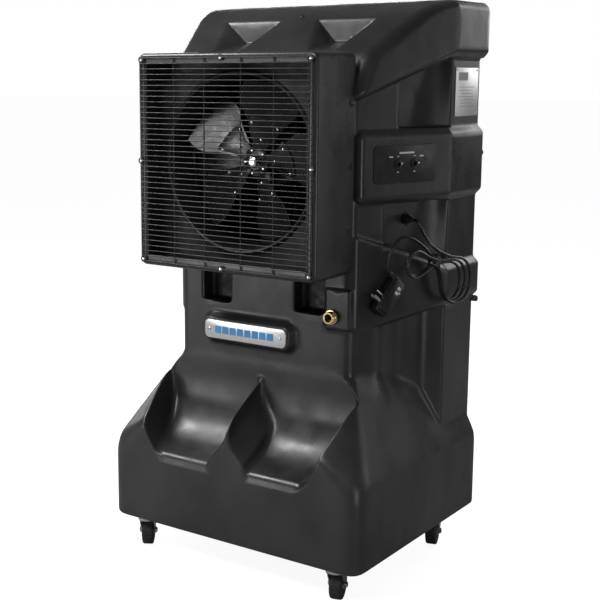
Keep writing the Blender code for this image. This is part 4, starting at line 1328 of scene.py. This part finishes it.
def rating_plate():
    """A foil plate with plain bars in place of its words."""
    low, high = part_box("rating_plate")
    middle_y, middle_z = (low[1] + high[1]) / 2, (low[2] + high[2]) / 2
    half_y, half_z = (high[1] - low[1]) / 2, (high[2] - low[2]) / 2
    to_side = Matrix(((0, 0, 1, 0), (1, 0, 0, middle_y), (0, 1, 0, middle_z), (0, 0, 0, 1)))
    skin, bars, pins = bmesh.new(), bmesh.new(), bmesh.new()
    plate(skin, rectangle(half_y, half_z, 0.004), to_side, low[0], low[0] + 0.0011, 0.0004)
    surface = to_side @ Matrix.Translation((0, 0, low[0] + 0.0010))
    for k in range(7):
        middle = (-0.004 * (k % 2), 0.012 - 0.0078 * k)
        bar(bars, surface, middle, 0.044 - 0.005 * (k % 3), 0.0007, 0.0002)
    bar(bars, surface, (-0.022, 0.038), 0.026, 0.010, 0.0002)
    pin = ((0.0, 0.0016), (0.0016, 0.0013), (0.0026, 0.0), (0.0, -0.0002))
    for x, y in rectangle(half_y - 0.006, half_z - 0.006, 0.0):
        lathe(pins, pin, surface @ Matrix.Translation((x, y, 0)), 14)
    add_piece("rating_skin", skin, LABEL, ["rating_plate"])
    add_piece("rating_marks", bars, GREY, smooth=30)
    add_piece("rating_pins", pins, STEEL)


def inlet():
    """The brass hose fitting, with its thread and the seal in its mouth."""
    matrix = axis_matrix(INLET, FRONTWARDS) @ Matrix.Scale(1.15, 4)
    profile = [(0.0080, -0.018), (0.0100, -0.018), (0.0100, 0.0004), (0.0148, 0.0004)]
    profile += [(0.0155, 0.0012), (0.0155, 0.0052), (0.0148, 0.0062), (0.0128, 0.0064)]
    profile.append((0.0122, 0.0070))
    for k in range(4):
        height = 0.0078 + 0.0020 * k
        profile += [(0.0130, height), (0.0123, height + 0.0010)]
    profile += [(0.0128, 0.0158), (0.0120, 0.0166), (0.0090, 0.0166), (0.0082, 0.0158)]
    profile += [(0.0080, 0.0100), (0.0080, -0.018)]
    ring = [(0.0079, 0.0070), (0.0079, 0.0085), (0.0050, 0.0090), (0.0044, 0.0078)]
    ring += [(0.0050, 0.0070), (0.0079, 0.0070)]
    fitting, seal = bmesh.new(), bmesh.new()
    lathe(fitting, profile, matrix, 40)
    lathe(seal, ring, matrix, 32)
    add_piece("inlet_fitting", fitting, BRASS, ["water_inlet"], smooth=30)
    add_piece("inlet_seal", seal, RUBBER)


def pan_head(bm, matrix, radius):
    """A screw's low domed head, from shares of its radius."""
    shares = ((0.0, 0.45), (0.5, 0.42), (0.85, 0.25), (1.0, 0.0), (1.0, -0.1), (0.0, -0.1))
    lathe(bm, [(r * radius, h * radius) for r, h in shares], matrix, 20)


def case_screws():
    """The dark screws in the cowl's two sides, and the one on the ridge of the slope."""
    bm = bmesh.new()
    dimple = ((0.0, 0.0004), (0.0095, 0.0004), (0.0105, 0.0), (0.0, -0.0002))
    for side in SIDES:
        for z in (1.161, 1.019, 0.871):
            matrix = axis_matrix((side * COWL_HALF, -0.172, z), (side, 0, 0))
            pan_head(bm, matrix, 0.0062)
            lathe(bm, dimple, matrix, 24)
    ridge = (-0.002, 0.020, slope_level(0.020) - 0.001)
    pan_head(bm, axis_matrix(ridge, (0, -CAP_SLOPE, 1)), 0.0060)
    add_piece("case_screws", bm, DULL_BLACK_AND_RECESS_SHADE)


# ---------------------------------------------------------------- cord and plug

CORD_DIAMETER = 0.007
TIE_CENTRE = Vector((0.3641, 0.0495, 0.7804))
HANK_ALONG = Vector((0.2, 1.0, 0.0)).normalized()
LEAD_ROUTE = (
    (0.3061, 0.0506, 0.8780),
    (0.3150, 0.0477, 0.8768),
    (0.3240, 0.0455, 0.8700),
    (0.3320, 0.0433, 0.8550),
    (0.3405, 0.0420, 0.8390),
    (0.3515, 0.0460, 0.8240),
    (0.3612, 0.0570, 0.8100),
    (0.3666, 0.0652, 0.7934),
)
TAIL_ROUTE = (
    (0.3616, 0.0367, 0.7979),
    (0.3580, 0.0280, 0.8095),
    (0.3524, 0.0174, 0.8196),
    (0.3467, 0.0066, 0.8284),
    (0.3400, -0.0068, 0.8384),
    (0.3335, -0.0200, 0.8458),
    (0.3276, -0.0342, 0.8503),
    (0.3219, -0.0481, 0.8474),
    (0.3175, -0.0580, 0.8382),
    (0.3147, -0.0632, 0.8257),
    (0.3118, -0.0692, 0.8150),
    (0.3090, -0.0752, 0.8060),
    (0.3068, -0.0796, 0.7960),
    (0.3056, -0.0818, 0.7860),
    (0.3061, -0.0797, 0.7755),
    (0.3082, -0.0731, 0.7656),
)
HANK_TURNS = 3


def hank_frame():
    """The plane in which the hank lies: x along it to the rear, y up, z outwards."""
    outward = Vector((HANK_ALONG.y, -HANK_ALONG.x, 0))
    turn = Matrix((HANK_ALONG, Vector((0, 0, 1)), outward)).transposed().to_4x4()
    return Matrix.Translation(TIE_CENTRE) @ turn


def lobe(middle, size, turns):
    """Points on an oval at the given turns in degrees."""
    for a in map(math.radians, turns):
        yield middle + Vector((size.x * math.cos(a), size.y * math.sin(a)))


def hank_route():
    """Figure-of-eight turns: a rear lobe that hangs, the tie, a smaller front lobe, the tie.

    The last turn ends at the tie after its rear lobe, where the tail starts.
    """
    points = []
    for turn in range(HANK_TURNS):
        layer = 0.0066 - 0.0066 * turn
        rear_middle = Vector((0.083 - 0.005 * turn, -0.054 - 0.001 * turn))
        rear_size = Vector((0.0585 - 0.0075 * turn, 0.0590 - 0.0045 * turn))
        front_middle = Vector((-0.075 + 0.006 * turn, 0.0015 - 0.002 * turn))
        front_size = Vector((0.0400 - 0.0060 * turn, 0.0345 - 0.0045 * turn))
        points += [(*p, layer) for p in lobe(rear_middle, rear_size, range(105, -200, -20))]
        points.append((0.004, -0.005 + 0.004 * turn, 0.6 * layer))
        if turn == HANK_TURNS - 1:
            break
        points += [(*p, layer) for p in lobe(front_middle, front_size, range(-62, -300, -22))]
        points.append((-0.004, 0.005 - 0.004 * turn, 0.6 * layer - 0.002))
    frame_matrix = hank_frame()
    return [tuple(frame_matrix @ Vector(p)) for p in points]


def power_cord():
    """The cord's curve and its length."""
    route = list(LEAD_ROUTE[:-1]) + hank_route() + list(TAIL_ROUTE[1:])
    path = relaxed(smooth_path(route, 0.005), 26)
    curve = bpy.data.curves.new("power_cord", "CURVE")
    curve.dimensions = "3D"
    curve.bevel_depth = CORD_DIAMETER / 2
    curve.bevel_resolution = 4
    curve.use_fill_caps = True
    spline = curve.splines.new("POLY")
    spline.points.add(len(path) - 1)
    for point, place in zip(spline.points, path):
        point.co = (*place, 1)
    curve.materials.append(RUBBER)
    piece = bpy.data.objects.new("power_cord", curve)
    SCENE.collection.objects.link(piece)
    length = sum((b - a).length for a, b in zip(path, path[1:]))
    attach(piece, "root")
    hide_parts("cord_lead", "cord_hank", "cord_tail")
    return piece, length


def cord_tie():
    """A strap wrapped twice round the hank's waist."""
    matrix = hank_frame()
    bm = bmesh.new()
    for along, lift in ((-0.0028, 0.0), (0.0026, 0.0007)):
        outline = rectangle(0.0165 + lift, 0.0135 + lift, 0.008)
        rings = []
        for a, grow in ((-0.0024, 0.0), (-0.0024, 0.0011), (0.0024, 0.0011), (0.0024, 0.0)):
            ring = inset_outline(outline, -grow)
            places = [Vector((along + a, b, c)) for b, c in ring]
            rings.append([bm.verts.new(matrix @ place) for place in places])
        bridge(bm, rings, closed=True)
    return add_piece("hank_strap", bm, RUBBER, ["cord_tie"])


def gland():
    """The gland's hexagonal nut and its ribbed strain relief."""
    matrix = angle_frame(*GLAND)
    bm = bmesh.new()
    plate(bm, rounded_outline(hexagon(0.0140), 0.0015, 3), matrix, 0.0004, 0.0075, 0.0012)
    profile = [(0.0, -0.011), (0.0088, -0.011), (0.0088, 0.004)]
    profile += [(0.0118, 0.0076), (0.0116, 0.0105), (0.0104, 0.0128)]
    for k in range(6):
        height, radius = 0.0135 + 0.0027 * k, 0.0098 - 0.00072 * k
        groove = radius - 0.0008
        profile += [(radius, height), (radius, height + 0.0015)]
        profile += [(groove, height + 0.0017), (groove, height + 0.0026)]
    profile += [(0.0050, 0.0298), (0.0036, 0.0300), (0.0, 0.0300)]
    lathe(bm, profile, matrix, 28)
    add_piece("gland_relief", bm, RUBBER, ["cord_gland"], smooth=30)


PLUG_TOP = Vector((0.3190, -0.0412, 0.7436))
PLUG_END = Vector((0.2989, -0.1007, 0.6701))


def plug():
    """The plug with its ground-fault module: its shell, its pins, its buttons and its lamp."""
    along = (PLUG_END - PLUG_TOP).normalized()
    outward = Vector((*OUT, 0))
    across = along.cross(outward)
    turn = Matrix((across, along, outward)).transposed().to_4x4()
    matrix = Matrix.Translation(PLUG_TOP) @ turn
    length = (PLUG_END - PLUG_TOP).length
    half, middle = 0.0210, (0.0, length / 2)
    body, bright, buttons, dots = bmesh.new(), bmesh.new(), bmesh.new(), bmesh.new()
    outline = rectangle(half, length / 2, (0.007, 0.010, 0.006, 0.006), middle, 5)
    plate(body, outline, matrix, -0.0125, 0.0075, 0.0025, 3)
    lid = rectangle(half - 0.003, length / 2 - 0.006, 0.005, middle, 4)
    plate(body, lid, matrix, 0.004, 0.0125, 0.0022, 3)
    neck_start = matrix @ Vector((0.012, 0.007, 0.0))
    tail_end = Vector(TAIL_ROUTE[-1])
    reach = (tail_end - neck_start).length
    neck = [(0.0, 0.0), (0.0095, 0.0)]
    for t in (k / 5 for k in range(5)):
        radius, height = 0.0092 - 0.0036 * t, 0.002 + (reach - 0.006) * t
        neck += [(radius, height), (radius, height + 0.0018), (radius - 0.0009, height + 0.0022)]
    neck += [(0.0046, reach - 0.0008), (0.0036, reach - 0.0004), (0.0, reach - 0.0004)]
    lathe(body, neck, axis_matrix(neck_start, tail_end - neck_start), 24)
    for y in (0.022, 0.034):
        key = rectangle(0.0050, 0.0040, 0.0016, (-0.0035, y), 3)
        plate(buttons, key, matrix, 0.0115, 0.0139, 0.0008)
    for height in (-0.0075, 0.0050):
        pin = rectangle(0.01375, 0.0033, (0, 0.001, 0.001, 0), (0.03075, length - 0.022), 2)
        plate(bright, pin, matrix, height, height + 0.0016)
    pin_start = matrix @ Vector((0.017, length - 0.038, 0.0))
    round_pin = ((0.0, 0.0), (0.0024, 0.0), (0.0024, 0.024), (0.0014, 0.0262), (0.0, 0.0264))
    lathe(bright, round_pin, axis_matrix(pin_start, across), 16)
    dome = ((0.0, 0.0008), (0.0030, 0.0004), (0.0034, 0.0), (0.0, -0.0004))
    lathe(dots, dome, matrix @ Matrix.Translation((-0.0115, 0.030, 0.0125)), 18)
    return [
        add_piece("plug_shell", body, RUBBER, ["gfci_plug"]),
        add_piece("plug_blades", bright, STEEL),
        add_piece("plug_buttons", buttons, WHITE_PRINT),
        add_piece("plug_lamp", dots, YELLOW),
    ]


# ---------------------------------------------------------------- back, casters


def pads():
    """Corrugated pads: wavy sheets side by side, seen at their edges, front and rear."""
    sheet, wave = 0.0072, 0.016  # how wide each sheet is, and how long its waves
    step = 0.0024
    for name in ("pad_left", "pad_middle", "pad_right"):
        low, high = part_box(name)
        xs = np.arange(low[0], high[0] + 1e-6, step)
        zs = np.arange(low[2], high[2] + 1e-6, step * 1.4)
        gx, gz = np.meshgrid(xs, zs, indexing="ij")
        number = np.floor((gx - low[0]) / sheet)
        leaning = np.where(number % 2 == 0, 1.0, -1.0)
        swing = 0.33 * sheet * leaning * np.sin(math.tau * gz / wave)
        cell = np.abs(np.sin(math.pi * (gx - low[0] + swing) / sheet))
        hollow = 0.007 * cell**0.8 * (0.75 + 0.25 * np.sin(math.tau * gz / wave + number))
        verts = []
        for ys in (high[1] - hollow, low[1] + hollow):
            verts += np.stack([gx.ravel(), ys.ravel(), gz.ravel()], 1).tolist()
        rows, cols = gx.shape
        faces = []
        half = rows * cols
        for i in range(rows - 1):
            for j in range(cols - 1):
                a = i * cols + j
                faces.append((a, a + 1, a + cols + 1, a + cols))
                faces.append((half + a, half + a + cols, half + a + cols + 1, half + a + 1))
        rim = [i * cols for i in range(rows)]
        rim += [(rows - 1) * cols + j for j in range(1, cols)]
        rim += [i * cols + cols - 1 for i in range(rows - 2, -1, -1)]
        rim += range(cols - 2, 0, -1)
        for a, b in zip(rim, rim[1:] + rim[:1]):
            faces.append((a, b, half + b, half + a))
        mesh = bpy.data.meshes.new(f"{name}_media")
        mesh.from_pydata(verts, [], faces)
        mesh.update()
        add_piece(f"{name}_media", mesh, MEDIA, [name], smooth=70)


def caster_details():
    """Four bolts under each caster's plate, and a hub ring on both sides of its wheel."""
    ring = ((0.0060, 0.0158), (0.0110, 0.0158), (0.0120, 0.0148), (0.0120, 0.0138))
    ring += ((0.0060, 0.0138), (0.0060, 0.0158))
    downwards = Matrix.Rotation(math.pi, 4, "X")
    for name in ("front_right", "front_left", "rear_right", "rear_left"):
        low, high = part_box(f"caster_{name}_plate")
        bolts, hub = bmesh.new(), bmesh.new()
        for x in (low[0] + 0.008, high[0] - 0.008):
            for y in (low[1] + 0.007, high[1] - 0.007):
                spot = Matrix.Translation((x, y, low[2])) @ downwards
                plate(bolts, hexagon(0.0050), spot, 0.0, 0.0035, 0.0006)
        joint = next(j for j in frame["joints"] if j["name"] == f"caster_{name}_roll")
        for side in SIDES:
            lathe(hub, ring, axis_matrix(joint["pos_m"], Vector(joint["axis"]) * side), 24)
        add_piece(f"caster_{name}_bolts", bolts, ZINC, smooth=30)
        body = f"caster_{name}_roller"
        add_piece(f"caster_{name}_hub", hub, GREY, body=body)


def dress_nodes():
    """Gives each CAD node that stays visible its material."""
    finishes = {
        "motor_casing": GREY,
        "motor_mount": ENAMEL,
        "motor_shaft": STEEL,
        "pad_frame": ENAMEL,
        "pump_body": ENAMEL,
        "pump_strainer": GREY,
        "riser_pipe": GREY,
        "distribution_pipe": GREY,
        "float_valve": GREY,
        "float_arm": BRASS,
        "inlet_hose": RUBBER,
        "drain_cap": RUBBER,
    }
    for node in frame["nodes"]:
        metal = node.startswith("caster") and node.endswith(("_plate", "_fork", "_axle"))
        if metal or node.startswith("turn_button"):
            finishes[node] = ZINC
        if node.endswith("_wheel"):
            finishes[node] = WHEEL_RUBBER
    for node, material in finishes.items():
        for slot in frame["nodes"][node].material_slots:
            slot.material = material


# ---------------------------------------------------------------- stage


def area_light(name, place, target, size, power):
    data = bpy.data.lights.new(name, "AREA")
    data.shape = "RECTANGLE"
    data.size, data.size_y = size
    data.energy = power
    light = bpy.data.objects.new(name, data)
    light.location = place
    light.rotation_euler = (Vector(target) - Vector(place)).to_track_quat("-Z", "Y").to_euler()
    SCENE.collection.objects.link(light)


# Name, place, target, size and watts
LIGHTS = (
    ("overhead", (-1.85, -1.15, 2.90), (0.0, -0.1, 0.70), (1.0, 1.0), 62),
    ("fan_key", (-0.30, -2.50, 2.60), (0.0, -0.2, 1.00), (0.8, 0.6), 36),
    ("front_left", (-2.00, -3.30, 0.65), (0.0, -0.3, 0.95), (1.5, 1.0), 20),
    ("right_rear", (2.90, 2.00, 1.30), (0.2, 0.1, 0.70), (1.2, 2.2), 9),
    ("right_front", (3.30, -1.60, 0.60), (0.3, 0.0, 0.80), (0.9, 1.2), 14),
    ("rear_fill", (0.60, 3.80, 1.90), (0.0, 0.3, 0.80), (2.2, 1.6), 34),
    ("left_fill", (-3.60, 0.90, 1.50), (-0.3, 0.0, 0.70), (1.6, 1.6), 22),
    ("top_rear", (-2.00, 2.60, 1.70), (0.0, 0.0, 1.30), (1.8, 0.8), 34),
)


def stage():
    """A pale floor and a world that is white to the camera and soft on the object."""
    world = bpy.data.worlds.new("studio")
    world.use_nodes = True
    nodes, links = world.node_tree.nodes, world.node_tree.links
    seen = nodes["Background"]
    seen.inputs["Color"].default_value = (1, 1, 1, 1)
    seen.inputs["Strength"].default_value = 1.0
    lit = nodes.new("ShaderNodeBackground")
    lit.inputs["Color"].default_value = (0.97, 0.98, 1.0, 1)
    lit.inputs["Strength"].default_value = 0.16
    mixer, path = nodes.new("ShaderNodeMixShader"), nodes.new("ShaderNodeLightPath")
    links.new(path.outputs["Is Camera Ray"], mixer.inputs["Fac"])
    links.new(lit.outputs["Background"], mixer.inputs[1])
    links.new(seen.outputs["Background"], mixer.inputs[2])
    links.new(mixer.outputs["Shader"], nodes["World Output"].inputs["Surface"])
    SCENE.world = world
    SCENE.view_settings.view_transform = "Standard"

    bm = bmesh.new()
    bmesh.ops.create_grid(bm, x_segments=1, y_segments=1, size=60.0)
    floor = bpy.data.objects.new("floor", mesh_of(bm))
    SCENE.collection.objects.link(floor)
    finish = Finish("floor_white")
    inputs, nodes, links = finish.shader.inputs, finish.nodes, finish.links
    inputs["Base Color"].default_value = (0.35, 0.35, 0.35, 1)
    inputs["Roughness"].default_value = 0.9
    inputs["Emission Color"].default_value = (1, 1, 1, 1)
    glow = nodes.new("ShaderNodeMath")
    glow.operation = "MULTIPLY"
    glow.inputs[1].default_value = 0.92
    links.new(nodes.new("ShaderNodeLightPath").outputs["Is Camera Ray"], glow.inputs[0])
    links.new(glow.outputs["Value"], inputs["Emission Strength"])
    floor.data.materials.append(finish.material)
    for light in LIGHTS:
        area_light(*light)


def camera():
    """The photograph's viewing angle: 36 degrees to the right and 10 degrees above."""
    data = bpy.data.cameras.new("camera")
    data.lens = 71.05
    data.sensor_width = 36.0
    data.shift_x, data.shift_y = 0.1117, -0.0127
    view = bpy.data.objects.new("camera", data)
    view.location = (1.635, -2.5165, 1.216)
    view.rotation_euler = (math.radians(90 - 10.26), 0.0, math.radians(36.1))
    SCENE.collection.objects.link(view)
    SCENE.camera = view


# ---------------------------------------------------------------- assembly

camera()
cord_piece, cord_length = power_cord()
strap = cord_tie()
gland()
plug_pieces = plug()
housing_piece()
cowl()
venturi()
guard()
rotor()
controls()
nameplate()
rating_plate()
inlet()
case_screws()
pads()
caster_details()
dress_nodes()
stage()
